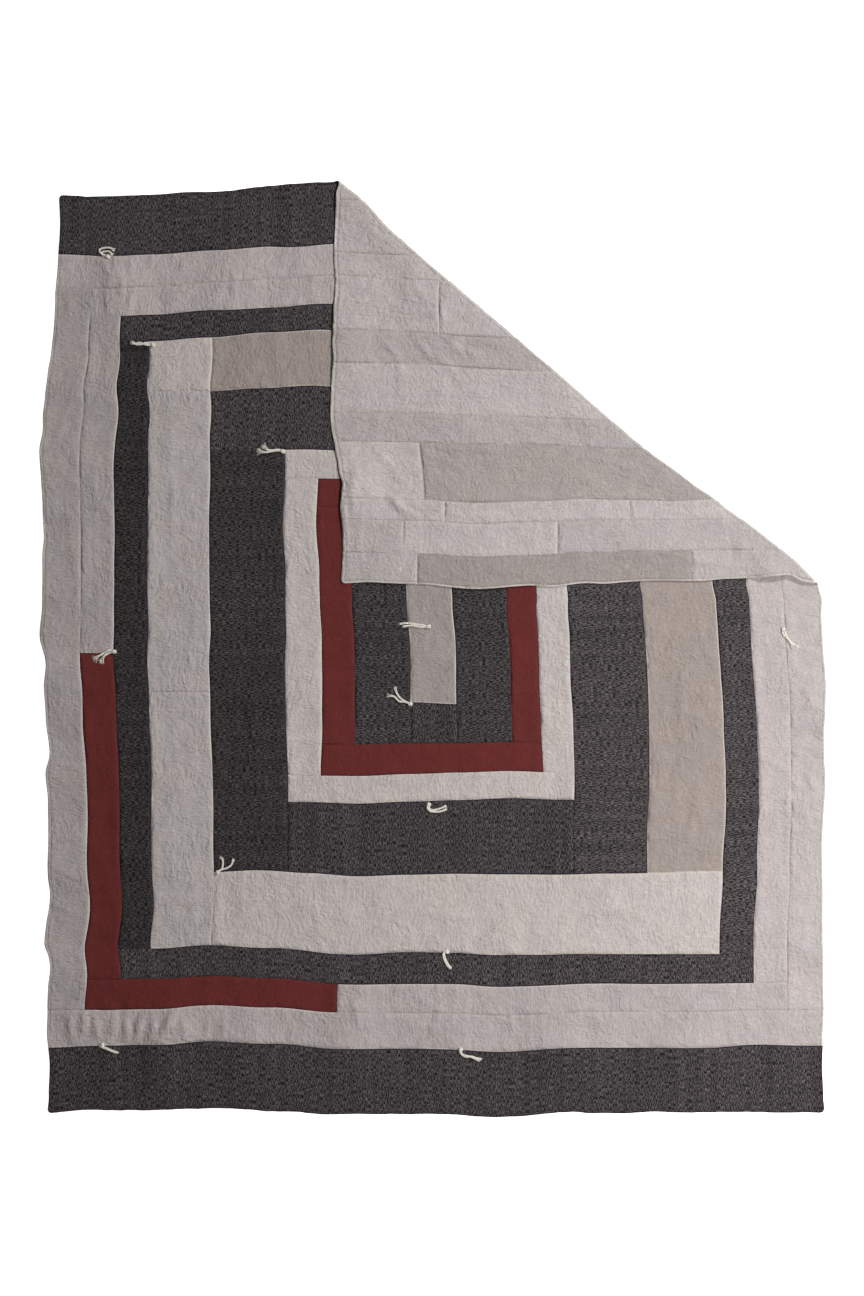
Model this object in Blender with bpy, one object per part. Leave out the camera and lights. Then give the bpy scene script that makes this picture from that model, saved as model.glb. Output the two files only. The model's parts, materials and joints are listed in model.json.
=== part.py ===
"""Patchwork quilt laid out flat, one corner folded over, tied through with yarn.

Units are metres, +Z is up. The quilt lies on z = 0 with its head towards +Y.
Both cloths are modelled flat as thin slabs and then laid: pulled a little out of
square, rippled, and rolled over the fold. The ties rest on the laid front.
"""

import math

import bmesh
import bpy
from mathutils import Vector
from mathutils.bvhtree import BVHTree

# Cloth: the flat quilt's edges and its two layers
EDGE_LEFT = -0.771
EDGE_RIGHT = 0.781
EDGE_HEAD = 0.929
EDGE_FOOT = -0.927
CLOTH_THICKNESS = 0.0012
LAYER_GAP = 0.0003
QUILT_THICKNESS = 2 * CLOTH_THICKNESS + LAYER_GAP
GRID_PITCH = 0.055

# Fold: the head corner at the right is turned over a line from FOLD_HEAD to FOLD_SIDE
FOLD_HEAD = Vector((-0.187, 0.935))
FOLD_SIDE = Vector((0.771, 0.131))
FLAT_CORNER = Vector((0.781, 0.941))
LAID_CORNER = Vector((-0.179, 0.131))
ROLL_RADIUS = 0.004
ROLL_STEPS = 6
FLAP_CLEARANCE = 0.0006
SETTLE_LENGTH = 0.080
FOLD_PULL = 0.200

# How far the fold's edge lies inside its chord: share of the fold, inset
FOLD_INSET = (
    (0.00, 0.000),
    (0.22, 0.009),
    (0.45, 0.012),
    (0.64, 0.014),
    (0.80, 0.002),
    (1.00, 0.000),
)

# Sideways pull of the cloth: y, pull at the left edge, in the middle, at the right edge
SIDE_PULL = (
    (0.929, 0.024, 0.000, 0.000),
    (0.797, 0.024, 0.000, 0.004),
    (0.713, 0.016, 0.000, 0.013),
    (0.605, 0.010, 0.000, 0.008),
    (0.509, -0.004, 0.000, -0.002),
    (0.413, -0.014, -0.002, -0.006),
    (0.297, -0.012, -0.003, -0.010),
    (0.131, -0.008, -0.006, -0.010),
    (0.095, -0.009, -0.004, -0.003),
    (0.017, -0.010, 0.002, -0.001),
    (-0.103, -0.001, 0.000, 0.005),
    (-0.283, 0.003, 0.004, 0.004),
    (-0.403, 0.002, 0.002, -0.001),
    (-0.499, 0.006, 0.000, 0.001),
    (-0.595, -0.004, 0.000, -0.002),
    (-0.653, 0.006, 0.000, -0.002),
    (-0.723, 0.000, 0.000, -0.002),
    (-0.927, 0.006, 0.000, 0.002),
)

# Endways pull of the cloth: x, pull at the head, pull at the foot
END_PULL = (
    (-0.771, -0.021, 0.000),
    (-0.663, -0.024, 0.004),
    (-0.563, -0.022, 0.006),
    (-0.443, -0.013, 0.010),
    (-0.323, -0.003, 0.006),
    (-0.193, 0.007, -0.005),
    (0.037, 0.011, -0.005),
    (0.117, 0.014, -0.008),
    (0.337, 0.023, 0.000),
    (0.577, 0.009, 0.000),
    (0.781, 0.012, 0.000),
)
HEAD_PULL_FROM = 0.397
HEAD_PULL_FULL = 0.797
FOOT_PULL_FROM = -0.423
FOOT_PULL_FULL = -0.563

# Ripples of the open cloth: centre x and y, heading in degrees, half length, half width, height
OPEN_RIPPLES = (
    (-0.623, 0.730, 95, 0.150, 0.075, 0.007),
    (-0.393, 0.760, 84, 0.170, 0.085, 0.006),
    (-0.500, 0.500, 70, 0.180, 0.090, 0.004),
    (-0.350, 0.560, 15, 0.130, 0.080, 0.004),
    (-0.790, 0.560, 12, 0.150, 0.085, 0.007),
    (-0.790, 0.380, -8, 0.140, 0.080, 0.006),
    (-0.790, 0.150, 6, 0.160, 0.085, 0.008),
    (-0.790, -0.050, -10, 0.150, 0.080, 0.009),
    (-0.790, -0.240, 8, 0.140, 0.075, 0.007),
    (-0.790, -0.420, 4, 0.160, 0.080, 0.009),
    (-0.790, -0.620, -12, 0.150, 0.080, 0.008),
    (-0.450, 0.100, 80, 0.220, 0.090, 0.005),
    (-0.330, -0.210, 100, 0.200, 0.090, 0.004),
    (-0.530, -0.800, 82, 0.180, 0.080, 0.009),
    (-0.370, -0.830, 96, 0.160, 0.080, 0.006),
    (-0.160, -0.790, 78, 0.170, 0.085, 0.008),
    (0.050, -0.830, 94, 0.160, 0.085, 0.006),
    (0.260, -0.800, 104, 0.180, 0.085, 0.007),
    (0.500, -0.820, 58, 0.200, 0.085, 0.007),
    (0.150, -0.560, 20, 0.200, 0.090, 0.004),
    (0.060, -0.150, 70, 0.180, 0.090, 0.004),
    (0.340, -0.330, 96, 0.220, 0.090, 0.004),
    (0.560, -0.130, 86, 0.220, 0.085, 0.005),
    (0.770, -0.110, 122, 0.140, 0.075, 0.008),
    (0.790, -0.330, 8, 0.130, 0.080, 0.006),
    (0.790, -0.600, -14, 0.150, 0.080, 0.008),
)

# Ripples of the folded corner, in the same columns
FLAP_RIPPLES = (
    (-0.150, 0.310, 88, 0.140, 0.070, 0.006),
    (-0.170, 0.600, 95, 0.140, 0.075, 0.004),
    (0.000, 0.690, 128, 0.120, 0.080, 0.006),
    (0.080, 0.440, 12, 0.180, 0.080, 0.004),
    (0.320, 0.370, 8, 0.180, 0.075, 0.005),
    (0.120, 0.160, 4, 0.160, 0.080, 0.005),
    (0.480, 0.190, -6, 0.150, 0.070, 0.006),
    (-0.090, 0.160, 70, 0.120, 0.070, 0.004),
)
OPEN_LEFT_OF = -0.205
OPEN_BELOW = 0.105
OPEN_FADE = 0.060

# Ties: knot x and y, then heading, length and turn of each of the two tails
TIES = (
    (-0.643, 0.785, 165, 0.046, -160, 118, 0.020, -60),
    (-0.555, 0.607, 172, 0.050, 10, 184, 0.044, -14),
    (-0.297, 0.394, 180, 0.050, -26, 178, 0.048, 14),
    (-0.637, -0.005, 196, 0.044, 2, 216, 0.034, 8),
    (-0.007, 0.044, 174, 0.060, 2, 182, 0.052, -2),
    (-0.045, -0.110, 182, 0.048, -38, 164, 0.044, -52),
    (-0.007, -0.313, 268, 0.046, 112, 282, 0.044, 74),
    (-0.429, -0.447, 44, 0.034, 52, 24, 0.042, 30),
    (0.026, -0.604, 246, 0.040, 58, 266, 0.034, 34),
    (-0.663, -0.793, 326, 0.038, 6, 340, 0.034, -10),
    (0.055, -0.801, 266, 0.048, 84, 284, 0.042, 54),
    (0.703, 0.035, 306, 0.040, 4, 290, 0.034, 10),
)
TIE_CLEARANCE = 0.0004
KNOT_RADIUS = 0.0042
KNOT_HEIGHT_SHARE = 0.6
TAIL_RADIUS_AT_KNOT = 0.0024
TAIL_RADIUS_AT_END = 0.0018
TAIL_STEPS = 5
TAIL_SIDES = 4

SLOPE_STEP = 0.0002
RAY_HEIGHT = 0.1

LINEN = (0.60, 0.56, 0.53, 1.0)
BACK_LINEN = (0.70, 0.66, 0.63, 1.0)
YARN = (0.80, 0.76, 0.68, 1.0)


def ease(value):
    """Smooth step from 0 to 1."""
    value = min(max(value, 0.0), 1.0)
    return value * value * (3.0 - 2.0 * value)


def read_rows(rows, place, column):
    """Value of a column at a place, eased from row to row."""
    ordered = sorted(rows)
    if place <= ordered[0][0]:
        return ordered[0][column]
    for low, high in zip(ordered, ordered[1:]):
        if place <= high[0]:
            share = ease((place - low[0]) / (high[0] - low[0]))
            return low[column] + share * (high[column] - low[column])
    return ordered[-1][column]


def pulled(x, y):
    """Flat point of the cloth, pulled out of square as it was sewn and laid."""
    middle = (EDGE_LEFT + EDGE_RIGHT) / 2
    half_width = (EDGE_RIGHT - EDGE_LEFT) / 2
    sideways = min(max((x - middle) / half_width, -1.0), 1.0)
    edge_column = 1 if sideways < 0.0 else 3
    edge_pull = read_rows(SIDE_PULL, y, edge_column)
    middle_pull = read_rows(SIDE_PULL, y, 2)
    pull_x = middle_pull + abs(sideways) * (edge_pull - middle_pull)
    head_share = ease((y - HEAD_PULL_FROM) / (HEAD_PULL_FULL - HEAD_PULL_FROM))
    foot_share = ease((y - FOOT_PULL_FROM) / (FOOT_PULL_FULL - FOOT_PULL_FROM))
    pull_y = head_share * read_rows(END_PULL, x, 1) + foot_share * read_rows(END_PULL, x, 2)
    return Vector((x + pull_x, y + pull_y))


def ripple_height(rows, x, y):
    """Height of the soft ripples at a laid point."""
    height = 0.0
    for centre_x, centre_y, heading, half_length, half_width, rise in rows:
        turn = math.radians(heading)
        along = (x - centre_x) * math.cos(turn) + (y - centre_y) * math.sin(turn)
        across = (y - centre_y) * math.cos(turn) - (x - centre_x) * math.sin(turn)
        if abs(along) < half_length and abs(across) < half_width:
            crest = math.cos(math.pi / 2 * along / half_length) * math.cos(math.pi / 2 * across / half_width)
            height = max(height, rise * crest * crest)
    return height


def open_share(x, y):
    """1 on the open cloth, 0 under the folded corner."""
    beside = ease((OPEN_LEFT_OF - x) / OPEN_FADE)
    below = ease((OPEN_BELOW - y) / OPEN_FADE)
    return max(beside, below)


def middle_surface(x, y):
    """Laid place of a pulled point on the surface midway between front and back."""
    fold_vector = FOLD_SIDE - FOLD_HEAD
    fold_length = fold_vector.length
    along_unit = fold_vector / fold_length
    out_unit = Vector((-along_unit.y, along_unit.x))
    flat = Vector((x, y)) - FOLD_HEAD
    along = flat.dot(along_unit)
    beyond = flat.dot(out_unit)
    inset = read_rows(FOLD_INSET, along / fold_length, 1) + ROLL_RADIUS + QUILT_THICKNESS / 2
    base_height = QUILT_THICKNESS / 2
    if beyond <= 0.0:
        inward = -beyond
        shift = inset * (1.0 - ease(inward / FOLD_PULL))
        place = FOLD_HEAD + along_unit * along - out_unit * (inward + shift)
        lift = open_share(place.x, place.y) * ripple_height(OPEN_RIPPLES, place.x, place.y)
        return Vector((place.x, place.y, base_height + lift))
    roll_length = math.pi * ROLL_RADIUS
    if beyond <= roll_length:
        angle = beyond / ROLL_RADIUS
        outward = ROLL_RADIUS * math.sin(angle) - inset
        place = FOLD_HEAD + along_unit * along + out_unit * outward
        return Vector((place.x, place.y, base_height + ROLL_RADIUS * (1.0 - math.cos(angle))))
    corner = FLAT_CORNER - FOLD_HEAD
    laid_corner = LAID_CORNER - FOLD_HEAD
    corner_inward = -laid_corner.dot(out_unit)
    stretch = corner_inward / (corner.dot(out_unit) - roll_length)
    slant = (laid_corner.dot(along_unit) - corner.dot(along_unit)) / corner_inward
    inward = stretch * (beyond - roll_length)
    shift = inset * (1.0 - ease(inward / FOLD_PULL))
    place = FOLD_HEAD + along_unit * (along + slant * inward) - out_unit * (inward + shift)
    settled = ease(inward / SETTLE_LENGTH)
    rest_height = QUILT_THICKNESS + FLAP_CLEARANCE + ripple_height(FLAP_RIPPLES, place.x, place.y)
    height = 2 * ROLL_RADIUS + settled * (rest_height - 2 * ROLL_RADIUS)
    return Vector((place.x, place.y, base_height + height))


def laid(x, y, above):
    """Laid place of a pulled point that lies a given height above the middle surface."""
    slope_x = middle_surface(x + SLOPE_STEP, y) - middle_surface(x - SLOPE_STEP, y)
    slope_y = middle_surface(x, y + SLOPE_STEP) - middle_surface(x, y - SLOPE_STEP)
    return middle_surface(x, y) + above * slope_x.cross(slope_y).normalized()


def cut_along_fold(mesh, beyond):
    """Cut the flat mesh along a line parallel to the fold, at a distance beyond it."""
    along_unit = (FOLD_SIDE - FOLD_HEAD).normalized()
    out_unit = Vector((-along_unit.y, along_unit.x))
    point = FOLD_HEAD + out_unit * beyond
    bmesh.ops.bisect_plane(
        mesh,
        geom=mesh.verts[:] + mesh.edges[:] + mesh.faces[:],
        dist=0.0001,
        plane_co=(point.x, point.y, 0.0),
        plane_no=(out_unit.x, out_unit.y, 0.0),
    )


def flat_sheet():
    """Flat triangulated sheet of the quilt's pulled outline, finer along the fold."""
    width = EDGE_RIGHT - EDGE_LEFT
    length = EDGE_HEAD - EDGE_FOOT
    mesh = bmesh.new()
    bmesh.ops.create_grid(
        mesh,
        x_segments=round(width / GRID_PITCH),
        y_segments=round(length / GRID_PITCH),
        size=0.5,
    )
    for vertex in mesh.verts:
        square_x = EDGE_LEFT + (vertex.co.x + 0.5) * width
        square_y = EDGE_FOOT + (vertex.co.y + 0.5) * length
        vertex.co.xy = pulled(square_x, square_y)
    roll_length = math.pi * ROLL_RADIUS
    for step in range(ROLL_STEPS + 1):
        cut_along_fold(mesh, roll_length * step / ROLL_STEPS)
    for share in (0.4, 1.0):
        cut_along_fold(mesh, roll_length + SETTLE_LENGTH * share)
    bmesh.ops.triangulate(mesh, faces=mesh.faces[:], quad_method="SHORT_EDGE", ngon_method="BEAUTY")
    return mesh


def cloth(name, low, high, colour, roughness):
    """One cloth of the quilt: a flat slab between two heights, then laid."""
    sheet = flat_sheet()
    for vertex in sheet.verts:
        vertex.co.z = low
    grown = bmesh.ops.extrude_face_region(sheet, geom=sheet.faces[:])
    for item in grown["geom"]:
        if isinstance(item, bmesh.types.BMVert):
            item.co.z = high
    bmesh.ops.recalc_face_normals(sheet, faces=sheet.faces[:])
    for vertex in sheet.verts:
        vertex.co = laid(vertex.co.x, vertex.co.y, vertex.co.z)
    return finished_object(name, sheet, colour, roughness)


def finished_object(name, mesh, colour, roughness):
    """Object with its own material, made from a bmesh."""
    data = bpy.data.meshes.new(name)
    mesh.to_mesh(data)
    mesh.free()
    item = bpy.data.objects.new(name, data)
    bpy.context.scene.collection.objects.link(item)
    material = bpy.data.materials.new(name)
    material.use_nodes = True
    shader = material.node_tree.nodes["Principled BSDF"]
    shader.inputs["Base Color"].default_value = colour
    shader.inputs["Roughness"].default_value = roughness
    shader.inputs["Metallic"].default_value = 0.0
    data.materials.append(material)
    return item


def surface_height(tree, x, y):
    """Height of the laid front at a point."""
    hit = tree.ray_cast(Vector((x, y, RAY_HEIGHT)), Vector((0.0, 0.0, -1.0)))
    return hit[0].z


def tail_route(x, y, heading, length, turn):
    """Points of a yarn tail on the cloth, bending most near the knot."""
    points = [Vector((x, y))]
    for step in range(TAIL_STEPS):
        share = (step + 0.5) / TAIL_STEPS
        angle = math.radians(heading + turn * (1.0 - (1.0 - share) ** 2))
        points.append(points[-1] + Vector((math.cos(angle), math.sin(angle))) * length / TAIL_STEPS)
    return points


def tail(tree, row):
    """One yarn tail as a closed tube that thins towards its end and rests on the cloth."""
    route = tail_route(*row)
    mesh = bmesh.new()
    rings = []
    for step, point in enumerate(route):
        share = step / TAIL_STEPS
        radius = TAIL_RADIUS_AT_KNOT + share * (TAIL_RADIUS_AT_END - TAIL_RADIUS_AT_KNOT)
        before = route[max(step - 1, 0)]
        after = route[min(step + 1, TAIL_STEPS)]
        ahead = (after - before).normalized()
        aside = Vector((-ahead.y, ahead.x))
        half_side = radius * math.cos(math.pi / TAIL_SIDES)
        centre_height = surface_height(tree, point.x, point.y) + TIE_CLEARANCE + half_side
        ring = []
        for side in range(TAIL_SIDES):
            angle = 2 * math.pi * (side + 0.5) / TAIL_SIDES
            offset = aside * radius * math.cos(angle)
            height = centre_height + radius * math.sin(angle)
            ring.append(mesh.verts.new((point.x + offset.x, point.y + offset.y, height)))
        rings.append(ring)
    for near, far in zip(rings, rings[1:]):
        for side in range(TAIL_SIDES):
            following = (side + 1) % TAIL_SIDES
            mesh.faces.new((near[side], near[following], far[following], far[side]))
    mesh.faces.new(rings[0])
    mesh.faces.new(rings[-1])
    bmesh.ops.recalc_face_normals(mesh, faces=mesh.faces[:])
    return mesh


def knot(tree, x, y):
    """The tie's knot as a flattened ball resting on the cloth."""
    mesh = bmesh.new()
    bmesh.ops.create_uvsphere(mesh, u_segments=8, v_segments=5, radius=KNOT_RADIUS)
    centre_height = surface_height(tree, x, y) + TIE_CLEARANCE + KNOT_RADIUS * KNOT_HEIGHT_SHARE
    for vertex in mesh.verts:
        vertex.co.x += x
        vertex.co.y += y
        vertex.co.z = centre_height + vertex.co.z * KNOT_HEIGHT_SHARE
    return mesh


def union_of(name, meshes, colour, roughness):
    """One closed body made from overlapping closed meshes."""
    body = finished_object(name, meshes[0], colour, roughness)
    for number, mesh in enumerate(meshes[1:]):
        added = finished_object(f"{name}_added_{number}", mesh, colour, roughness)
        joint = body.modifiers.new("Union", "BOOLEAN")
        joint.operation = "UNION"
        joint.object = added
        with bpy.context.temp_override(object=body, active_object=body):
            bpy.ops.object.modifier_apply(modifier=joint.name)
        bpy.data.objects.remove(added, do_unlink=True)
    return body


def tie(tree, number, row):
    """One yarn tie: a knot with two free tails."""
    x, y, heading_a, length_a, turn_a, heading_b, length_b, turn_b = row
    meshes = [
        knot(tree, x, y),
        tail(tree, (x, y, heading_a, length_a, turn_a)),
        tail(tree, (x, y, heading_b, length_b, turn_b)),
    ]
    return union_of(f"tie_{number:02d}", meshes, YARN, 0.8)


def centre_on_origin(items):
    """Move every mesh so that the origin lies midway under the whole quilt."""
    corners = [vertex.co for item in items for vertex in item.data.vertices]
    middle_x = (min(c.x for c in corners) + max(c.x for c in corners)) / 2
    middle_y = (min(c.y for c in corners) + max(c.y for c in corners)) / 2
    bottom = min(c.z for c in corners)
    for item in items:
        for vertex in item.data.vertices:
            vertex.co -= Vector((middle_x, middle_y, bottom))


def main():
    for item in list(bpy.data.objects):
        bpy.data.objects.remove(item, do_unlink=True)
    half_gap = LAYER_GAP / 2
    front = cloth("pieced_front", half_gap, half_gap + CLOTH_THICKNESS, LINEN, 0.9)
    back = cloth("pieced_back", -half_gap - CLOTH_THICKNESS, -half_gap, BACK_LINEN, 0.9)
    tree = BVHTree.FromObject(front, bpy.context.evaluated_depsgraph_get())
    ties = [tie(tree, number, row) for number, row in enumerate(TIES, start=1)]
    centre_on_origin([front, back] + ties)


main()
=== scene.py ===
"""Looks of a patchwork quilt laid flat with one corner folded over.

Strips of charcoal, pale, taupe and dark red cloth are sewn round a small centre patch, over a
pieced pale back, and tied through with cream yarn. Each strip is its own thin sheet on the
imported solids' folds. Units are metres.
"""

import json
import math

import bmesh
import bpy
import numpy as np
from bpy.props import FloatProperty, FloatVectorProperty, IntProperty, PointerProperty
from bpy.types import Operator, Panel, PropertyGroup
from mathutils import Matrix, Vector
from mathutils.bvhtree import BVHTree

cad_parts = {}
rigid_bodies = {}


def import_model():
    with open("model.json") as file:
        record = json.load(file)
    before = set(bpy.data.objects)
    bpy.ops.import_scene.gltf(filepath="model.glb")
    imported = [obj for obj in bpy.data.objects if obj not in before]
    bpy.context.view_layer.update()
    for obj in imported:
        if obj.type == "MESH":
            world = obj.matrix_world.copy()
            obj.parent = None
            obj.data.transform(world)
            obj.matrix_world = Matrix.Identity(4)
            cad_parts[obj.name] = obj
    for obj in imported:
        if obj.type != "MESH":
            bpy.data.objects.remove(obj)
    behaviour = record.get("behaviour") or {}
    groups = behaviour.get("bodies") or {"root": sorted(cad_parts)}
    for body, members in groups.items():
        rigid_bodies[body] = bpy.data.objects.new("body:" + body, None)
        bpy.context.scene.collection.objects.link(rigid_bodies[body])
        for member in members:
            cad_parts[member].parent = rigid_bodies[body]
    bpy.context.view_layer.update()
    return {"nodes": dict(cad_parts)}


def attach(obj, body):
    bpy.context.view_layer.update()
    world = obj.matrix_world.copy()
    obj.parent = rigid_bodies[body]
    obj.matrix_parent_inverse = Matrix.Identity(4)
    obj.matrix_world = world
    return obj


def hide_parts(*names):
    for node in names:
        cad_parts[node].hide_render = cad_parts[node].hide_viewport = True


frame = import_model()
BODY = "root"

bl_info = {
    "name": "Folded Patchwork Quilt",
    "version": (1, 0, 0),
    "blender": (4, 5, 0),
    "location": "View3D > Sidebar > Quilt",
    "description": "Pieces, ties and lights a patchwork quilt with one corner folded over",
    "category": "Object",
}

# Flat quilt: its edges, its thickness and the fold, as the solids have them
EDGE_LEFT = -0.771
EDGE_RIGHT = 0.781
EDGE_HEAD = 0.929
EDGE_FOOT = -0.927
QUILT_THICKNESS = 0.0027
FOLD_HEAD = np.array((-0.187, 0.935))
FOLD_SIDE = np.array((0.771, 0.131))
FLAT_CORNER = np.array((0.781, 0.941))
LAID_CORNER = np.array((-0.179, 0.131))
FOLD_LENGTH = np.linalg.norm(FOLD_SIDE - FOLD_HEAD)
FOLD_ALONG = (FOLD_SIDE - FOLD_HEAD) / FOLD_LENGTH
FOLD_OUT = np.array((-FOLD_ALONG[1], FOLD_ALONG[0]))
ROLL_RADIUS = 0.004
ROLL_LENGTH = math.pi * ROLL_RADIUS
FLAP_CLEARANCE = 0.0006
SETTLE_LENGTH = 0.080
FOLD_PULL = 0.200
FOLD_CREASE = 0.0034
FOLD_CREASE_DEPTH = 0.0008
FOLD_CREASE_SPREAD = 0.45
HEAD_PULL_FROM = 0.397
HEAD_PULL_FULL = 0.797
FOOT_PULL_FROM = -0.423
FOOT_PULL_FULL = -0.563
OPEN_LEFT_OF = -0.205
OPEN_BELOW = 0.105
OPEN_FADE = 0.060

# How far the fold's edge lies inside its chord: share of the fold, inset
FOLD_INSET = (
    (0.00, 0.0000),
    (0.05, -0.0010),
    (0.12, 0.0092),
    (0.22, 0.0110),
    (0.45, 0.0130),
    (0.64, 0.0172),
    (0.74, 0.0092),
    (0.80, 0.0032),
    (0.88, -0.0030),
    (0.95, -0.0042),
    (1.00, 0.0000),
)

# Sideways pull of the cloth: y, pull at the left edge, in the middle, at the right edge
SIDE_PULL = (
    (0.929, 0.024, 0.000, 0.000),
    (0.797, 0.024, 0.000, 0.004),
    (0.713, 0.016, 0.000, 0.013),
    (0.605, 0.010, 0.000, 0.008),
    (0.509, -0.004, 0.000, -0.002),
    (0.413, -0.014, -0.002, -0.006),
    (0.297, -0.012, -0.003, -0.010),
    (0.131, -0.008, -0.006, -0.010),
    (0.095, -0.009, -0.004, -0.003),
    (0.017, -0.010, 0.002, -0.001),
    (-0.103, -0.001, 0.000, 0.005),
    (-0.283, 0.003, 0.004, 0.004),
    (-0.403, 0.002, 0.002, -0.001),
    (-0.499, 0.006, 0.000, 0.001),
    (-0.595, -0.004, 0.000, -0.002),
    (-0.653, 0.006, 0.000, -0.002),
    (-0.723, 0.000, 0.000, -0.002),
    (-0.927, 0.006, 0.000, 0.002),
)

# Endways pull of the cloth: x, pull at the head, pull at the foot
END_PULL = (
    (-0.771, -0.021, 0.000),
    (-0.663, -0.024, 0.004),
    (-0.563, -0.022, 0.006),
    (-0.443, -0.013, 0.010),
    (-0.323, -0.003, 0.006),
    (-0.193, 0.007, -0.005),
    (0.037, 0.011, -0.005),
    (0.117, 0.014, -0.008),
    (0.337, 0.023, 0.000),
    (0.577, 0.009, 0.000),
    (0.781, 0.012, 0.000),
)

# Drift of the seams as sewn, in millimetres at every 0.10 m, and 0 where a row is silent
SIDE_DRIFT_AT = tuple(round(0.65 - 0.10 * step, 2) for step in range(14))
END_DRIFT_AT = tuple(round(-0.75 + 0.10 * step, 2) for step in range(16))

# Sideways: x of the seam, y of the first value, then the values towards the foot
SIDE_DRIFT = (
    (-0.771, 0.65, ()),
    (-0.695, 0.65, (-3, -1, 4, 1, 2, 0, 0, -4, -4, 0, 3, 1, 7, -1)),
    (-0.629, 0.65, (-6, -2, 8, 2, 3, 0, 0, -4, -3, -1, 1, 1, 5, 1)),
    (-0.564, 0.65, (-11, -7, 6, 6, 4, 1, 3, -2, -2, -1, -1, 0, 4, 2)),
    (-0.441, 0.65, (-6, -3, 4, 5, 2, 2, 3, -3, -3, -2, 0, 1, 1)),
    (-0.292, 0.45, (1, 4, -1, 5, 3, -2, -1)),
    (-0.225, 0.35, (2, -2, 5, 5, 5, 4, -2)),
    (-0.047, 0.05, (-1, 3, 3)),
    (0.047, 0.15, (-3, -4, -1, 1)),
    (0.159, 0.15, (-4, -8, -4, -2)),
    (0.219, 0.15, (-4, -9, -7, -4, -1)),
    (0.281, 0.15, (-5, -8, -7, -2, -1, -2)),
    (0.429, 0.15, (-6, -5, -1, 1, 1, -1)),
    (0.577, 0.15, (-8, -6, -3, 1, 5, 7, 3, -2, -2)),
    (0.647, 0.15, (-10, -10, -8, -3, 1, 3, 2, -4, -3)),
    (0.713, 0.15, (-6, -6, -5, -2, 0, 2, 1, -3, -2)),
    (0.781, 0.65, ()),
)

# Endways: y of the seam, x of the first value, then the values towards the right
END_DRIFT = (
    (0.929, -0.75, ()),
    (0.805, -0.75, (4, 3, 5, 4, 2, -2)),
    (0.681, -0.75, (2, 2, 4, 6, 3, 5)),
    (0.629, -0.75, (1, 2, -1, 1, 5, 6)),
    (0.519, -0.45, (-2, 2, 6)),
    (0.395, -0.35, (1, 3)),
    (0.283, -0.75, ()),
    (-0.109, -0.15, (1, 2, -2)),
    (-0.249, -0.35, (-3, -5, -6, -2, 1, 4, 1)),
    (-0.305, -0.35, (-1, -2, -5, -1, 2, 6, 3, 1)),
    (-0.449, -0.45, (1, 5, 0, -6, -3, -1, -2, -3, -1, 0, 3, 2)),
    (-0.606, -0.45, (3, 1, 2, -1, 4, 3, 1, -3, -5, -5, -5, -3)),
    (-0.665, -0.65, (-1, -1, 0, 0, 0, -2, -1, -1, -4, -5, -5, -6, -5, -4)),
    (-0.723, -0.75, (-1, -4, -4, 0, -1, 0, 1, -1, -1, -3, -3, -3, -4, -3)),
    (-0.797, -0.75, (-1, -1, -1, 2, 1, 2, 2, 2, 1, -2, 1, -1, -1, -1, 5, 3)),
    (-0.927, -0.75, ()),
)

# Waves of the rims in millimetres: place along the rim, shift
LEFT_WAVES = (
    (0.929, 0), (0.869, 2), (0.785, -2), (0.729, 0), (0.645, 1), (0.575, -2), (0.533, 1), (0.477, -1),
    (0.435, 4), (0.393, -1), (0.337, 1), (0.281, 3), (0.225, 4), (0.183, 0), (0.085, -1), (0.029, -5),
    (-0.027, 5), (-0.083, -4), (-0.139, -2), (-0.209, 4), (-0.251, -5), (-0.307, -1), (-0.391, 1),
    (-0.461, -2), (-0.489, 0), (-0.545, -2), (-0.587, -1), (-0.615, 5), (-0.671, -2), (-0.727, 1),
    (-0.769, -1), (-0.825, 2), (-0.895, -2), (-0.927, -5),
)
RIGHT_WAVES = (
    (0.924, 1), (0.883, -3), (0.843, -2), (0.741, 0), (0.700, 1), (0.619, -3), (0.578, 2), (0.537, 0),
    (0.500, 3), (0.455, 0), (0.410, -1), (0.333, 2), (0.292, -2), (0.252, -4), (0.215, -9), (0.191, -12),
    (0.160, 2), (0.112, 6), (0.060, 3), (-0.027, 4), (-0.069, 3), (-0.111, 0), (-0.167, -2), (-0.223, -1),
    (-0.251, 1), (-0.335, -1), (-0.419, 0), (-0.503, -1), (-0.573, 1), (-0.643, 3), (-0.727, 4),
    (-0.783, 1), (-0.839, -2), (-0.895, -1), (-0.927, 1),
)
HEAD_WAVES = (
    (-0.771, -1), (-0.711, -2), (-0.655, 0), (-0.543, 1), (-0.515, 2), (-0.459, -2), (-0.403, -1),
    (-0.347, 1), (-0.291, 5), (-0.235, 3), (-0.207, 1), (-0.187, 5), (-0.155, 11), (-0.079, 12),
    (-0.007, 11), (0.080, 10), (0.138, 12), (0.196, 11), (0.254, 7), (0.340, 8), (0.398, 11), (0.456, 9),
    (0.514, 6), (0.543, 3), (0.600, 7), (0.658, 2), (0.716, 1), (0.781, 4),
)
FOOT_WAVES = (
    (-0.771, -2), (-0.711, 1), (-0.641, -1), (-0.585, -2), (-0.515, -2), (-0.459, -3), (-0.375, -2),
    (-0.319, -5), (-0.263, -2), (-0.179, 1), (-0.095, 1), (0.017, 1), (0.101, -2), (0.171, -2),
    (0.269, 2), (0.325, -2), (0.381, -3), (0.437, 1), (0.493, -1), (0.605, 0), (0.661, 0), (0.689, -1),
    (0.781, -1),
)
WAVE_FADE = 0.055
CORNER_ROUND = 0.009

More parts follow.
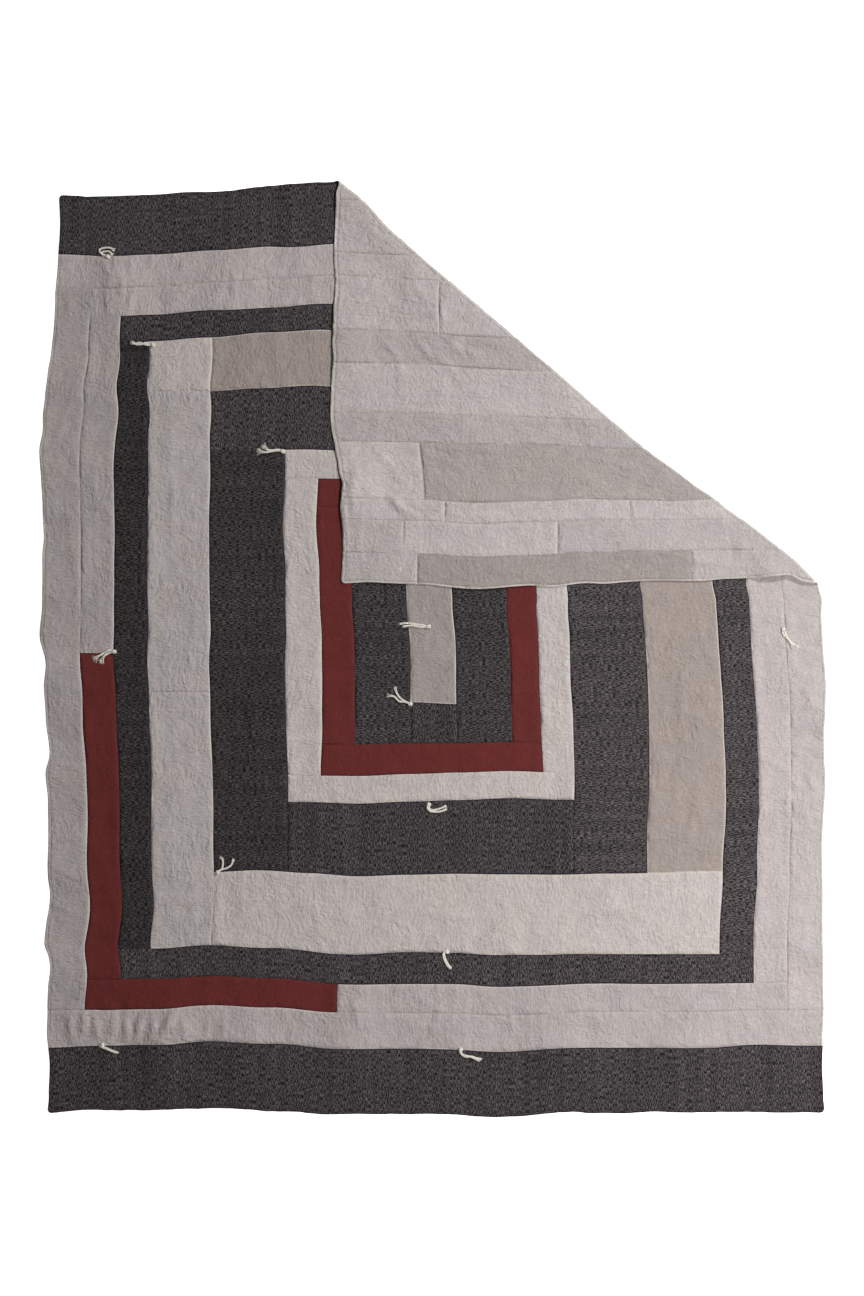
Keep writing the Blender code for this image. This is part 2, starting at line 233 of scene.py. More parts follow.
# Ripples of the open cloth: centre x and y, heading in degrees, half length, half width, height
OPEN_RIPPLES = (
    (-0.623, 0.730, 95, 0.150, 0.075, 0.007),
    (-0.393, 0.760, 84, 0.170, 0.085, 0.006),
    (-0.500, 0.500, 70, 0.180, 0.090, 0.004),
    (-0.350, 0.560, 15, 0.130, 0.080, 0.004),
    (-0.790, 0.560, 12, 0.150, 0.085, 0.007),
    (-0.790, 0.380, -8, 0.140, 0.080, 0.006),
    (-0.790, 0.150, 6, 0.160, 0.085, 0.008),
    (-0.790, -0.050, -10, 0.150, 0.080, 0.009),
    (-0.790, -0.240, 8, 0.140, 0.075, 0.007),
    (-0.790, -0.420, 4, 0.160, 0.080, 0.009),
    (-0.790, -0.620, -12, 0.150, 0.080, 0.008),
    (-0.450, 0.100, 80, 0.220, 0.090, 0.005),
    (-0.330, -0.210, 100, 0.200, 0.090, 0.004),
    (-0.530, -0.800, 82, 0.180, 0.080, 0.009),
    (-0.370, -0.830, 96, 0.160, 0.080, 0.006),
    (-0.160, -0.790, 78, 0.170, 0.085, 0.008),
    (0.050, -0.830, 94, 0.160, 0.085, 0.006),
    (0.260, -0.800, 104, 0.180, 0.085, 0.007),
    (0.500, -0.820, 58, 0.200, 0.085, 0.007),
    (0.150, -0.560, 20, 0.200, 0.090, 0.004),
    (0.060, -0.150, 70, 0.180, 0.090, 0.004),
    (0.340, -0.330, 96, 0.220, 0.090, 0.004),
    (0.560, -0.130, 86, 0.220, 0.085, 0.005),
    (0.770, -0.110, 122, 0.140, 0.075, 0.008),
    (0.790, -0.330, 8, 0.130, 0.080, 0.006),
    (0.790, -0.600, -14, 0.150, 0.080, 0.008),
)

# Ripples of the folded corner, in the same columns
FLAP_RIPPLES = (
    (-0.150, 0.310, 88, 0.140, 0.070, 0.006),
    (-0.170, 0.600, 95, 0.140, 0.075, 0.004),
    (0.000, 0.690, 128, 0.120, 0.080, 0.006),
    (0.080, 0.440, 12, 0.180, 0.080, 0.004),
    (0.320, 0.370, 8, 0.180, 0.075, 0.005),
    (0.120, 0.160, 4, 0.160, 0.080, 0.005),
    (0.480, 0.190, -6, 0.150, 0.070, 0.006),
    (-0.090, 0.160, 70, 0.120, 0.070, 0.004),
    (0.640, 0.222, -40, 0.130, 0.048, 0.008),
    (0.400, 0.420, -40, 0.140, 0.045, 0.006),
    (0.170, 0.610, -41, 0.130, 0.045, 0.005),
)

# Small creases of the open cloth and of the folded corner, in the same columns
OPEN_CREASES = (
    (-0.625, 0.722, 92, 0.060, 0.010, 0.0016),
    (-0.602, 0.700, 80, 0.050, 0.009, 0.0012),
    (-0.395, 0.735, 84, 0.070, 0.012, 0.0016),
    (-0.240, 0.748, 100, 0.050, 0.010, 0.0010),
    (-0.735, 0.470, 70, 0.120, 0.010, 0.0010),
    (-0.720, 0.205, 96, 0.130, 0.011, 0.0012),
    (-0.672, 0.330, 88, 0.110, 0.009, 0.0010),
    (-0.735, -0.070, 24, 0.045, 0.009, 0.0014),
    (-0.730, -0.230, -18, 0.050, 0.010, 0.0015),
    (-0.735, -0.380, 12, 0.045, 0.009, 0.0014),
    (-0.738, -0.520, -22, 0.045, 0.010, 0.0015),
    (-0.520, 0.300, 90, 0.200, 0.012, 0.0010),
    (-0.480, 0.030, 84, 0.160, 0.010, 0.0010),
    (-0.505, -0.250, 97, 0.170, 0.012, 0.0012),
    (-0.723, -0.757, 98, 0.038, 0.011, 0.0030),
    (-0.694, -0.753, 84, 0.036, 0.011, 0.0036),
    (-0.668, -0.760, 95, 0.038, 0.012, 0.0042),
    (-0.640, -0.755, 80, 0.036, 0.011, 0.0036),
    (-0.612, -0.758, 92, 0.038, 0.012, 0.0045),
    (-0.583, -0.756, 78, 0.037, 0.012, 0.0046),
    (-0.556, -0.760, 88, 0.036, 0.011, 0.0040),
    (-0.527, -0.752, 62, 0.042, 0.012, 0.0045),
    (-0.500, -0.758, 100, 0.036, 0.011, 0.0022),
    (-0.455, -0.757, 84, 0.036, 0.011, 0.0020),
    (-0.420, -0.752, 80, 0.045, 0.009, 0.0014),
    (0.690, -0.230, -32, 0.036, 0.008, 0.0022),
    (0.751, -0.265, -66, 0.042, 0.009, 0.0024),
    (0.715, -0.297, 60, 0.024, 0.008, 0.0018),
    (0.730, -0.215, 70, 0.030, 0.008, 0.0014),
    (-0.600, 0.765, 88, 0.030, 0.009, 0.0018),
    (-0.655, 0.770, 96, 0.028, 0.009, 0.0016),
    (-0.560, 0.772, 92, 0.026, 0.008, 0.0014),
    (-0.500, 0.768, 80, 0.030, 0.009, 0.0014),
    (-0.335, -0.690, 68, 0.050, 0.010, 0.0012),
    (-0.150, -0.735, 106, 0.055, 0.011, 0.0014),
    (0.010, -0.745, 78, 0.050, 0.010, 0.0014),
    (0.160, -0.740, 96, 0.055, 0.011, 0.0016),
    (0.330, -0.748, 84, 0.050, 0.010, 0.0012),
    (0.515, -0.735, 57, 0.060, 0.010, 0.0018),
    (0.640, -0.760, 120, 0.050, 0.010, 0.0014),
    (-0.300, -0.520, 10, 0.120, 0.012, 0.0010),
    (0.050, -0.530, -6, 0.130, 0.011, 0.0010),
    (0.380, -0.520, 8, 0.120, 0.012, 0.0012),
    (0.500, -0.120, 88, 0.150, 0.010, 0.0014),
    (0.540, 0.020, 104, 0.080, 0.009, 0.0012),
    (0.520, -0.330, 80, 0.110, 0.010, 0.0012),
    (0.752, -0.098, 121, 0.050, 0.009, 0.0020),
    (0.735, -0.050, 128, 0.040, 0.008, 0.0014),
    (0.760, -0.290, 40, 0.050, 0.009, 0.0014),
    (0.690, -0.420, 92, 0.120, 0.010, 0.0012),
    (0.745, -0.560, 76, 0.110, 0.010, 0.0012),
    (0.600, 0.060, 20, 0.050, 0.009, 0.0012),
)
FLAP_CREASES = (
    (0.702, 0.152, -24, 0.085, 0.050, 0.0130),
    (-0.085, 0.596, -52, 0.042, 0.009, 0.0024),
    (-0.017, 0.596, -54, 0.044, 0.010, 0.0028),
    (0.012, 0.585, -58, 0.032, 0.009, 0.0020),
    (0.045, 0.599, -50, 0.046, 0.010, 0.0028),
    (0.078, 0.588, -52, 0.038, 0.009, 0.0022),
    (-0.120, 0.575, -60, 0.030, 0.008, 0.0016),
    (-0.158, 0.310, 91, 0.110, 0.010, 0.0028),
    (-0.146, 0.245, 86, 0.080, 0.009, 0.0020),
    (-0.064, 0.286, -46, 0.036, 0.010, 0.0044),
    (-0.040, 0.276, -34, 0.028, 0.008, 0.0036),
    (-0.034, 0.292, -38, 0.024, 0.008, 0.0022),
    (-0.170, 0.265, 94, 0.060, 0.006, 0.0020),
    (-0.068, 0.345, -48, 0.050, 0.009, 0.0014),
    (-0.100, 0.380, -60, 0.050, 0.010, 0.0012),
    (-0.030, 0.725, 120, 0.080, 0.010, 0.0020),
    (-0.140, 0.700, 60, 0.060, 0.009, 0.0014),
    (0.120, 0.395, -4, 0.160, 0.010, 0.0014),
    (0.360, 0.372, -6, 0.120, 0.009, 0.0018),
    (0.430, 0.230, 12, 0.100, 0.009, 0.0014),
    (0.200, 0.215, 8, 0.120, 0.009, 0.0012),
    (-0.060, 0.520, 100, 0.090, 0.010, 0.0012),
    (0.030, 0.560, 136, 0.090, 0.010, 0.0014),
    (0.560, 0.175, -10, 0.080, 0.008, 0.0016),
    (0.640, 0.160, -28, 0.060, 0.008, 0.0014),
    (0.260, 0.330, 70, 0.060, 0.008, 0.0012),
)

# Ties: how far the ends fray, the knot, then the points of each of the two tails beyond the knot
TIES = (
    (
        0.7,
        (-0.6472, 0.7830),
        (
            (-0.6622, 0.7896), (-0.6650, 0.7970), (-0.6566, 0.8002),
            (-0.6450, 0.8006), (-0.6370, 0.7964),
        ),
        ((-0.6590, 0.7870), (-0.6606, 0.7918), (-0.6472, 0.7934), (-0.6408, 0.7878)),
    ),
    (
        0.8,
        (-0.5578, 0.6072),
        (
            (-0.5684, 0.6110), (-0.5748, 0.6106), (-0.5798, 0.6082),
            (-0.5912, 0.6078), (-0.5992, 0.6118),
        ),
        (
            (-0.5716, 0.6070), (-0.5782, 0.6092), (-0.5846, 0.6114),
            (-0.5928, 0.6098), (-0.6008, 0.6102),
        ),
    ),
    (
        1.6,
        (-0.2980, 0.3940),
        ((-0.3074, 0.3976), (-0.3192, 0.3964), (-0.3286, 0.3972), (-0.3354, 0.4022)),
        ((-0.3090, 0.3958), (-0.3226, 0.3940), (-0.3346, 0.3924), (-0.3448, 0.3940)),
    ),
    (
        1.6,
        (-0.6354, -0.0060),
        ((-0.6460, -0.0034), (-0.6600, -0.0110), (-0.6730, -0.0186)),
        ((-0.6448, -0.0082), (-0.6550, -0.0138), (-0.6610, -0.0230)),
    ),
    (
        0.5,
        (-0.0072, 0.0442),
        ((-0.0220, 0.0470), (-0.0370, 0.0494), (-0.0500, 0.0508), (-0.0660, 0.0494)),
        ((-0.0220, 0.0428), (-0.0370, 0.0458), (-0.0482, 0.0456), (-0.0586, 0.0438)),
    ),
    (
        0.8,
        (-0.0434, -0.1108),
        ((-0.0562, -0.1062), (-0.0664, -0.1056), (-0.0766, -0.0962), (-0.0876, -0.0940)),
        ((-0.0562, -0.1050), (-0.0646, -0.0988), (-0.0714, -0.0894), (-0.0744, -0.0802)),
    ),
    (
        0.4,
        (-0.0070, -0.3116),
        (
            (-0.0098, -0.3150), (-0.0040, -0.3214), (0.0030, -0.3226),
            (0.0142, -0.3198), (0.0258, -0.3152),
        ),
        (
            (-0.0104, -0.3170), (-0.0046, -0.3248), (0.0076, -0.3260),
            (0.0180, -0.3250), (0.0266, -0.3212),
        ),
    ),
    (
        0.5,
        (-0.4306, -0.4482),
        ((-0.4214, -0.4406), (-0.4192, -0.4320), (-0.4196, -0.4218), (-0.4230, -0.4180)),
        ((-0.4238, -0.4422), (-0.4136, -0.4398), (-0.4034, -0.4338), (-0.3984, -0.4236)),
    ),
    (
        0.2,
        (0.0298, -0.6060),
        (
            (0.0258, -0.6038), (0.0230, -0.6102), (0.0258, -0.6204),
            (0.0312, -0.6314), (0.0368, -0.6382),
        ),
        (
            (0.0238, -0.6048), (0.0214, -0.6116), (0.0236, -0.6216),
            (0.0290, -0.6322), (0.0352, -0.6390),
        ),
    ),
    (
        0.2,
        (-0.6594, -0.7920),
        ((-0.6652, -0.7950), (-0.6580, -0.7978), (-0.6470, -0.8024), (-0.6314, -0.8082)),
        ((-0.6614, -0.7952), (-0.6530, -0.7980), (-0.6410, -0.8032), (-0.6294, -0.8076)),
    ),
    (
        0.5,
        (0.0566, -0.8004),
        (
            (0.0544, -0.8046), (0.0594, -0.8114), (0.0682, -0.8154),
            (0.0770, -0.8144), (0.0858, -0.8174), (0.0960, -0.8202),
        ),
        (
            (0.0562, -0.8054), (0.0618, -0.8118), (0.0698, -0.8136),
            (0.0790, -0.8162), (0.0922, -0.8226),
        ),
    ),
    (
        0.9,
        (0.7008, 0.0404),
        ((0.6998, 0.0308), (0.7076, 0.0220), (0.7174, 0.0122), (0.7286, 0.0038)),
        ((0.7048, 0.0318), (0.7090, 0.0212), (0.7154, 0.0118), (0.7190, 0.0026)),
    ),
)

# Seams of the front that run head to foot, by their x on the flat quilt
ACROSS = {
    "rim_left": EDGE_LEFT,
    "outer_left": -0.695,
    "thin_left": -0.629,
    "second_left": -0.564,
    "wide_left": -0.441,
    "inner_left": -0.292,
    "red_left": -0.225,
    "red_end": -0.191,
    "core_left": -0.159,
    "centre_left": -0.047,
    "centre_right": 0.047,
    "core_right": 0.159,
    "red_right": 0.219,
    "inner_right": 0.281,
    "wide_right": 0.429,
    "second_right": 0.577,
    "thin_right": 0.647,
    "outer_right": 0.713,
    "rim_right": EDGE_RIGHT,
}

# Seams of the front that run side to side, by their y on the flat quilt
DOWN = {
    "rim_head": EDGE_HEAD,
    "band_head": 0.805,
    "outer_head": 0.739,
    "thin_head": 0.681,
    "second_head": 0.629,
    "wide_head": 0.519,
    "inner_head": 0.395,
    "red_head": 0.339,
    "core_head": 0.283,
    "centre_head": 0.203,
    "red_start": -0.009,
    "second_joint": -0.087,
    "centre_foot": -0.109,
    "core_foot": -0.189,
    "red_foot": -0.249,
    "inner_foot": -0.305,
    "wide_foot": -0.449,
    "second_foot": -0.606,
    "thin_foot": -0.665,
    "outer_foot": -0.723,
    "band_foot": -0.797,
    "rim_foot": EDGE_FOOT,
}

# Strips of the front: name, cloth, left and right seam, head and foot seam
FRONT_STRIPS = (
    ("head_band", "charcoal_light", "rim_left", "rim_right", "rim_head", "band_head"),
    ("pale_head_rim", "pale_bright", "rim_left", "rim_right", "band_head", "outer_head"),
    ("pale_head_outer", "pale_bright", "outer_left", "outer_right", "outer_head", "thin_head"),
    ("pale_left_rim", "pale_dusk", "rim_left", "outer_left", "outer_head", "outer_foot"),
    ("pale_left_outer", "pale_dusk", "outer_left", "thin_left", "thin_head", "red_start"),
    ("red_left_outer", "red_deep", "outer_left", "thin_left", "red_start", "thin_foot"),
    ("red_foot_outer", "red_deep", "outer_left", "red_end", "thin_foot", "outer_foot"),
    ("pale_foot_outer", "pale", "red_end", "outer_right", "thin_foot", "outer_foot"),
    ("pale_right_outer", "pale_bright", "thin_right", "outer_right", "thin_head", "thin_foot"),
    ("pale_right_rim", "pale_bright", "outer_right", "rim_right", "outer_head", "outer_foot"),
    ("pale_foot_rim", "pale", "rim_left", "rim_right", "outer_foot", "band_foot"),
    ("foot_band", "charcoal", "rim_left", "rim_right", "band_foot", "rim_foot"),
    ("thin_head", "charcoal_light", "thin_left", "thin_right", "thin_head", "second_head"),
    ("thin_left", "charcoal_night", "thin_left", "second_left", "second_head", "second_foot"),
    ("thin_right", "charcoal_warm", "second_right", "thin_right", "second_head", "second_foot"),
    ("thin_foot", "charcoal_light", "thin_left", "thin_right", "second_foot", "thin_foot"),
    ("second_corner", "cream", "second_left", "wide_left", "second_head", "wide_head"),
    ("second_head", "taupe", "wide_left", "second_right", "second_head", "wide_head"),
    ("second_left_head", "ash", "second_left", "wide_left", "wide_head", "second_joint"),
    ("second_left_foot", "ash", "second_left", "wide_left", "second_joint", "second_foot"),
    ("second_right", "taupe", "wide_right", "second_right", "wide_head", "wide_foot"),
    ("second_foot", "cream", "wide_left", "second_right", "wide_foot", "second_foot"),
    ("wide_head", "charcoal_light", "wide_left", "wide_right", "wide_head", "inner_head"),
    ("wide_left", "charcoal_deep", "wide_left", "inner_left", "inner_head", "wide_foot"),
    ("wide_right", "charcoal_warm", "inner_right", "wide_right", "inner_head", "wide_foot"),
    ("wide_foot", "charcoal", "inner_left", "inner_right", "inner_foot", "wide_foot"),
    ("inner_head", "cream", "inner_left", "inner_right", "inner_head", "red_head"),
    ("inner_left", "cream", "inner_left", "red_left", "red_head", "red_foot"),
    ("inner_right", "cream", "red_right", "inner_right", "red_head", "red_foot"),
    ("inner_foot", "cream", "inner_left", "inner_right", "red_foot", "inner_foot"),
    ("red_head", "red", "red_left", "red_right", "red_head", "core_head"),
    ("red_left", "red", "red_left", "core_left", "core_head", "core_foot"),
    ("red_right", "red", "core_right", "red_right", "core_head", "core_foot"),
    ("red_foot", "red", "red_left", "red_right", "core_foot", "red_foot"),
    ("core_head", "charcoal_core", "core_left", "core_right", "core_head", "centre_head"),
    ("core_left", "charcoal_core", "core_left", "centre_left", "centre_head", "core_foot"),
    ("core_right", "charcoal_core", "centre_right", "core_right", "centre_head", "core_foot"),
    ("core_foot", "charcoal_core", "centre_left", "centre_right", "centre_foot", "core_foot"),
    ("centre_patch", "grey", "centre_left", "centre_right", "centre_head", "centre_foot"),
)

# Strips of the back, which run head to foot: name, cloth, left, right, head, foot
BACK_STRIPS = (
    ("panel_1", "back_linen", EDGE_LEFT, -0.463, EDGE_HEAD, EDGE_FOOT),
    ("panel_2", "back_pale", -0.463, -0.141, EDGE_HEAD, EDGE_FOOT),
    ("panel_3", "back_linen", -0.141, -0.015, EDGE_HEAD, EDGE_FOOT),
    ("panel_4", "back_linen", -0.015, 0.044, EDGE_HEAD, EDGE_FOOT),
    ("panel_5_head", "back_pale", 0.044, 0.177, EDGE_HEAD, 0.757),
    ("panel_5_foot", "back_linen", 0.044, 0.177, 0.757, EDGE_FOOT),
    ("panel_6", "back_dusk", 0.177, 0.256, EDGE_HEAD, EDGE_FOOT),
    ("panel_7", "back_pale", 0.256, 0.374, EDGE_HEAD, EDGE_FOOT),
    ("panel_12", "back_dusk", 0.374, 0.443, EDGE_HEAD, EDGE_FOOT),
    ("panel_8_head", "back_bright", 0.443, 0.579, EDGE_HEAD, 0.794),
    ("panel_8_middle", "back_taupe", 0.443, 0.579, 0.794, 0.177),
    ("panel_8_foot", "back_pale", 0.443, 0.579, 0.177, EDGE_FOOT),
    ("panel_9_head", "back_linen", 0.579, 0.629, EDGE_HEAD, 0.760),
    ("panel_9_middle", "back_pale", 0.579, 0.629, 0.760, 0.454),
    ("panel_9_foot", "back_linen", 0.579, 0.629, 0.454, EDGE_FOOT),
    # Panels 10 and 11 are a darker back linen, partly its own tone and partly painted shade at the folded
    # corner's tip
    ("panel_10_head", "back_ash", 0.629, 0.708, EDGE_HEAD, 0.829),
    ("panel_10_middle", "back_linen", 0.629, 0.708, 0.829, 0.575),
    ("panel_10_foot", "back_ash", 0.629, 0.708, 0.575, EDGE_FOOT),
    ("panel_11_head", "back_ash", 0.708, EDGE_RIGHT, EDGE_HEAD, 0.804),
    ("panel_11_middle", "back_clay", 0.708, EDGE_RIGHT, 0.804, 0.354),
    ("panel_11_foot", "back_ash", 0.708, EDGE_RIGHT, 0.354, EDGE_FOOT),
)

# Finishes of the cloths, one to a column: threads to the metre, sizes in metres and shares of the dye
FINISHES = ("charcoal", "linen", "twill")
FINISH_VALUES = {
    "threads": (1100.0, 1500.0, 1500.0),
    "slub": (0.5, 0.4, 0.3),
    "length": (0.0072, 0.0075, 0.0080),
    "width": (0.0015, 0.0022, 0.0020),
    "low": (0.16, 0.92, 0.92),
    "high": (1.94, 1.08, 1.08),
    "fade": (0.0, 0.5, 0.0),
    "grain": (0.5, 0.035, 0.04),
    "bars": (0.2, 0.025, 0.04),
    "thread": (0.12, 0.03, 0.04),
    # line and rim: shares of the line at a bold seam and along the rim; on pale front cloth and along pale
    # rims they are painted highlight, on dark cloth thread with painted shade
    "line": (0.9, 0.9, 0.6),
    "rim": (0.5, 0.45, 0.3),
    "mottle": (0.05, 0.05, 0.02),
    "stitch": (0.6, 0.8, 0.7),
    "sheen": (0.03, 0.02, 0.02),
    "ribs": (0.0004, 0.0027, 0.0012),
    "dry_grain": (0.0003, 0.0011, 0.0002),
    "weave_height": (0.00008, 0.00006, 0.00005),
}
CLOTH_KINDS = {}
for column, finish in enumerate(FINISHES):
    CLOTH_KINDS[finish] = {label: values[column] for label, values in FINISH_VALUES.items()}
# The back's rim and the fold's roll get a strong painted highlight
CLOTH_KINDS["backing"] = {**CLOTH_KINDS["linen"], "rim": 0.95}
COOL_TINT = (0.93, 0.965, 1.03)

# Cloths of the front: name, finish, dye, lighter or darker than the dye, dye of the line at a seam, which is
# a painted highlight on pale cloth and thread with painted shade on dark cloth
# The charcoal and pale strips of the left are darker copies of their dyes, those of the head and the right
# lighter ones
FRONT_CLOTHS = (
    ("charcoal_deep", "charcoal", "charcoal", 0.78, "thread_and_shade"),
    ("charcoal", "charcoal", "charcoal", 1.00, "thread_and_shade"),
    ("charcoal_light", "charcoal", "charcoal", 1.07, "thread_and_shade"),
    ("charcoal_warm", "charcoal", "charcoal", 1.19, "thread_and_shade"),
    ("charcoal_core", "charcoal", "charcoal", 0.90, "thread_and_shade"),
    ("charcoal_night", "charcoal", "charcoal", 0.69, "thread_and_shade"),
    ("pale_dusk", "linen", "pale", 0.95, "seam_line"),
    ("pale", "linen", "pale", 1.02, "seam_line"),
    ("pale_bright", "linen", "pale", 1.09, "seam_line"),
    ("cream", "linen", "cream", 1.00, "seam_line"),
    ("ash", "linen", "ash", 1.00, "seam_line"),
    ("taupe", "linen", "taupe", 1.00, "seam_line"),
    ("grey", "linen", "grey", 1.00, "seam_line"),
    ("red", "twill", "red", 1.00, "thread_and_shade"),
    ("red_deep", "twill", "red", 0.98, "thread_and_shade"),
)

# Cloths of the back, in the same columns
BACK_CLOTHS = (
    ("back_linen", "backing", "back_linen", 1.03, "back_line"),
    ("back_bright", "backing", "back_linen", 1.09, "back_line"),
    # A darker copy of the back linen: partly its own tone, partly painted shade where the folded corner's
    # tip lies in a soft valley
    ("back_ash", "backing", "back_linen", 0.93, "back_line"),
    ("back_pale", "backing", "back_linen", 1.03, "back_line"),
    ("back_dusk", "backing", "back_linen", 0.90, "back_line"),
    ("back_taupe", "backing", "back_taupe", 1.00, "back_line"),
    ("back_clay", "backing", "back_taupe", 0.88, "back_line"),
)

# Uneven patterns of the cloth: pitch in metres, seed, strength, then what its x and y are multiplied by
UNEVEN = {
    "ragged": (0.014, 51, 0.6, 1.0, 1.0),
    "crease_x": (0.045, 11, 0.006, 1.0, 1.0),
    "crease_y": (0.045, 12, 0.006, 1.0, 1.0),
    "wrinkle_x": (0.045, 41, 0.010, 1.0, 1.0),
    "wrinkle_y": (0.045, 42, 0.010, 1.0, 1.0),
    "long_fold": (0.042, 43, 1.0, 1.0, 0.7),
    "short_fold": (0.021, 44, 1.0, 1.0, 1.0),
    "gathered": (0.120, 45, 1.1, 1.0, 1.0),
    "pucker": (0.013, 21, 1.0, 1.0, 0.25),
    "fine_pucker": (0.006, 22, 0.6, 1.0, 0.4),
    "end_pucker": (0.013, 23, 1.0, 0.25, 1.0),
    "rumple": (0.050, 31, 1.0, 1.0, 1.0),
    "fine_rumple": (0.021, 32, 0.5, 1.0, 1.0),
}
LONG_FOLD_SHARE = 0.65
LEAST_WRINKLED = 0.3

# Face of a strip: distances from its seam or rim of the swell, the hem and the flat edge, and their spreads
PUFF_AT = 0.009
PUFF_SPREAD = 0.007
HEM_FROM = 0.0006
HEM_RISE_OVER = 0.0014
HEM_TO = 0.0115
HEM_FALL_OVER = 0.0025
STITCH_SPREAD = 0.0007
FLAT_EDGE = 0.004
END_GATHERS = 0.02
END_REACH = 0.2
LEAST_HEIGHT = 0.15
CONTRAST_REACH = 0.004

# How much of the wrinkles shows on cloth that faces down, in the roll and under the folded corner
SOFT_TURNED_DOWN = 0.25
SOFT_IN_ROLL = 0.6
SOFT_COVERED = 0.3

# Dip round a knot and the short wrinkles that run out of it
KNOT_DIP = 0.0010
KNOT_DIP_REACH = 0.012
KNOT_RAYS = 7
KNOT_RAY_HEIGHT = 0.0004
KNOT_RAY_AT = 0.014
KNOT_RAY_SPREAD = 0.009

# Yarn: where rays down to the cloth start, steps and sides of a ply, its share of the yarn, its frayed end
RAY_FROM = 0.1
CURVE_STEPS = 12
TAIL_STEPS = 44
PLY_SIDES = 6
PLY_SHARE = 0.52
LAY_SHARE = 0.50
FRAY_LENGTH = 0.009
FRAY_SPREAD = 1.4
FRAY_THINNING = 0.3
MOST_FRAY = 1.6
FIBRE_STEPS = 6
FIBRE_SIDES = 4
FIBRE_LENGTH = (0.002, 0.004)
FRAYED_LENGTH = (0.001, 0.005)
FIBRE_TURN = 0.55
FIBRE_CURL = 0.0015
FIBRE_RISE = 0.0005

# Knot of a tie: turns, steps, then its ring, height, plies and lay in radii of the yarn, and its roots
KNOT_TURNS = 2.1
KNOT_STEPS = 46
KNOT_RING = 1.25
KNOT_RISE = 1.35
KNOT_PLY = 0.55
KNOT_LAY = 0.35
KNOT_LAYS = 3.0
KNOT_FLATTENED = 0.8
KNOT_LENGTH = 0.0042
KNOT_AHEAD = 0.0015
ROOT_STEPS = 7
ROOT_SIDES = 7
ROOT_SHARE = 0.8
ROOT_BACK = 0.002
ROOT_DEPTH = 0.0006
ROOT_BOW = 0.0012

# Stage: where the lights and the camera stand, and how far the floor lies under the quilt
KEY_PLACE = (2.5, 3.0, 3.0)
SIDE_PLACE = (1.8, -1.0, 2.6)
LIGHT_SIZE = 1.0
CAMERA_OFFSET = (-0.0016, 0.0026)
CAMERA_SENSOR = 36.0
FLOOR_DROP = 0.0005

# Grid stations near a seam and near the rim, as distances from it
SEAM_STATIONS = (0.0, 0.0004, 0.0010, 0.0020, 0.0035, 0.0060, 0.0100)
RIM_STATIONS = (0.0, 0.0002, 0.0005, 0.0009, 0.00135, 0.0024, 0.0037, 0.0049, 0.0058, 0.0067, 0.0085, 0.0120)
ROLL_CUTS = 14
CREASE_CUTS = (0.4, 0.7, 1.0, 1.3, 1.7)
CUT_BEFORE_FOLD = -0.001
CUT_MERGE = 0.00005
SLOPE_STEP = 0.0002
NO_EDGE = 1.0
PATTERN_OFFSET = 0.371
MIN_CONTRAST = 0.15

# Painted line along a rim, a painted highlight on pale cloth and the back and painted shade on dark cloth:
# full up to one distance and gone at the other. On the fold it is a painted highlight partway round the roll
PAINTED_RIM_FULL = 0.0018
PAINTED_RIM_GONE = 0.0044
FOLD_HIGHLIGHT_SHARE = 0.62

# Hem stitches: half width, height, where on its wave a dash starts, and how much of its dye shows
STITCH_HALF_WIDTH = 0.0004
STITCH_HEIGHT = 0.0003
DASH_FROM = -0.55
STITCH_DYE = 0.7


def ease(value):
    """Smooth step from 0 to 1."""
    value = np.clip(value, 0.0, 1.0)
    return value * value * (3.0 - 2.0 * value)


def read_rows(rows, place, column):
    """Values of a column at the places, eased from row to row."""
    ordered = np.array(sorted(rows))
    stations = ordered[:, 0]
    values = ordered[:, column]
    low = np.clip(np.searchsorted(stations, place, side="right") - 1, 0, len(stations) - 2)
    share = ease((place - stations[low]) / (stations[low + 1] - stations[low]))
    return values[low] + share * (values[low + 1] - values[low])


def lattice_noise(x, y, pitch, seed):
    """Smooth noise from -1 to 1 on a square lattice."""
    side = 64
    values = np.random.default_rng(seed).uniform(-1.0, 1.0, (side, side))
    across = np.asarray(x) / pitch
    down = np.asarray(y) / pitch
    column = np.floor(across).astype(int)
    row = np.floor(down).astype(int)
    share_x = ease(across - column)
    share_y = ease(down - row)
    left, right = column % side, (column + 1) % side
    ends = []
    for line in (row % side, (row + 1) % side):
        ends.append(values[line, left] * (1 - share_x) + values[line, right] * share_x)
    return ends[0] * (1 - share_y) + ends[1] * share_y


def uneven(name, x, y):
    """Smooth noise in one of the named patterns."""
    pitch, seed, strength, share_x, share_y = UNEVEN[name]
    return strength * lattice_noise(x * share_x, y * share_y, pitch, seed)


def wandering(name, x, y):
    """Points moved to and fro, so that lines laid through them wander."""
    return x + uneven(f"{name}_x", x, y), y + uneven(f"{name}_y", x, y)


def hump(value, middle, spread):
    """Bell curve, 1 at its middle."""
    return np.exp(-(((value - middle) / spread) ** 2))


def rounded(x, y):
    """Flat points with the quilt's four corners turned round."""
    from_side = np.minimum(x - EDGE_LEFT, EDGE_RIGHT - x)
    from_end = np.minimum(EDGE_HEAD - y, y - EDGE_FOOT)
    near_side = np.clip(1.0 - from_side / CORNER_ROUND, 0.0, 1.0)
    near_end = np.clip(1.0 - from_end / CORNER_ROUND, 0.0, 1.0)
    inward_x = CORNER_ROUND * near_side * (1.0 - np.sqrt(1.0 - near_end**2 / 2))
    inward_y = CORNER_ROUND * near_end * (1.0 - np.sqrt(1.0 - near_side**2 / 2))
    return x - np.sign(x) * inward_x, y - np.sign(y) * inward_y


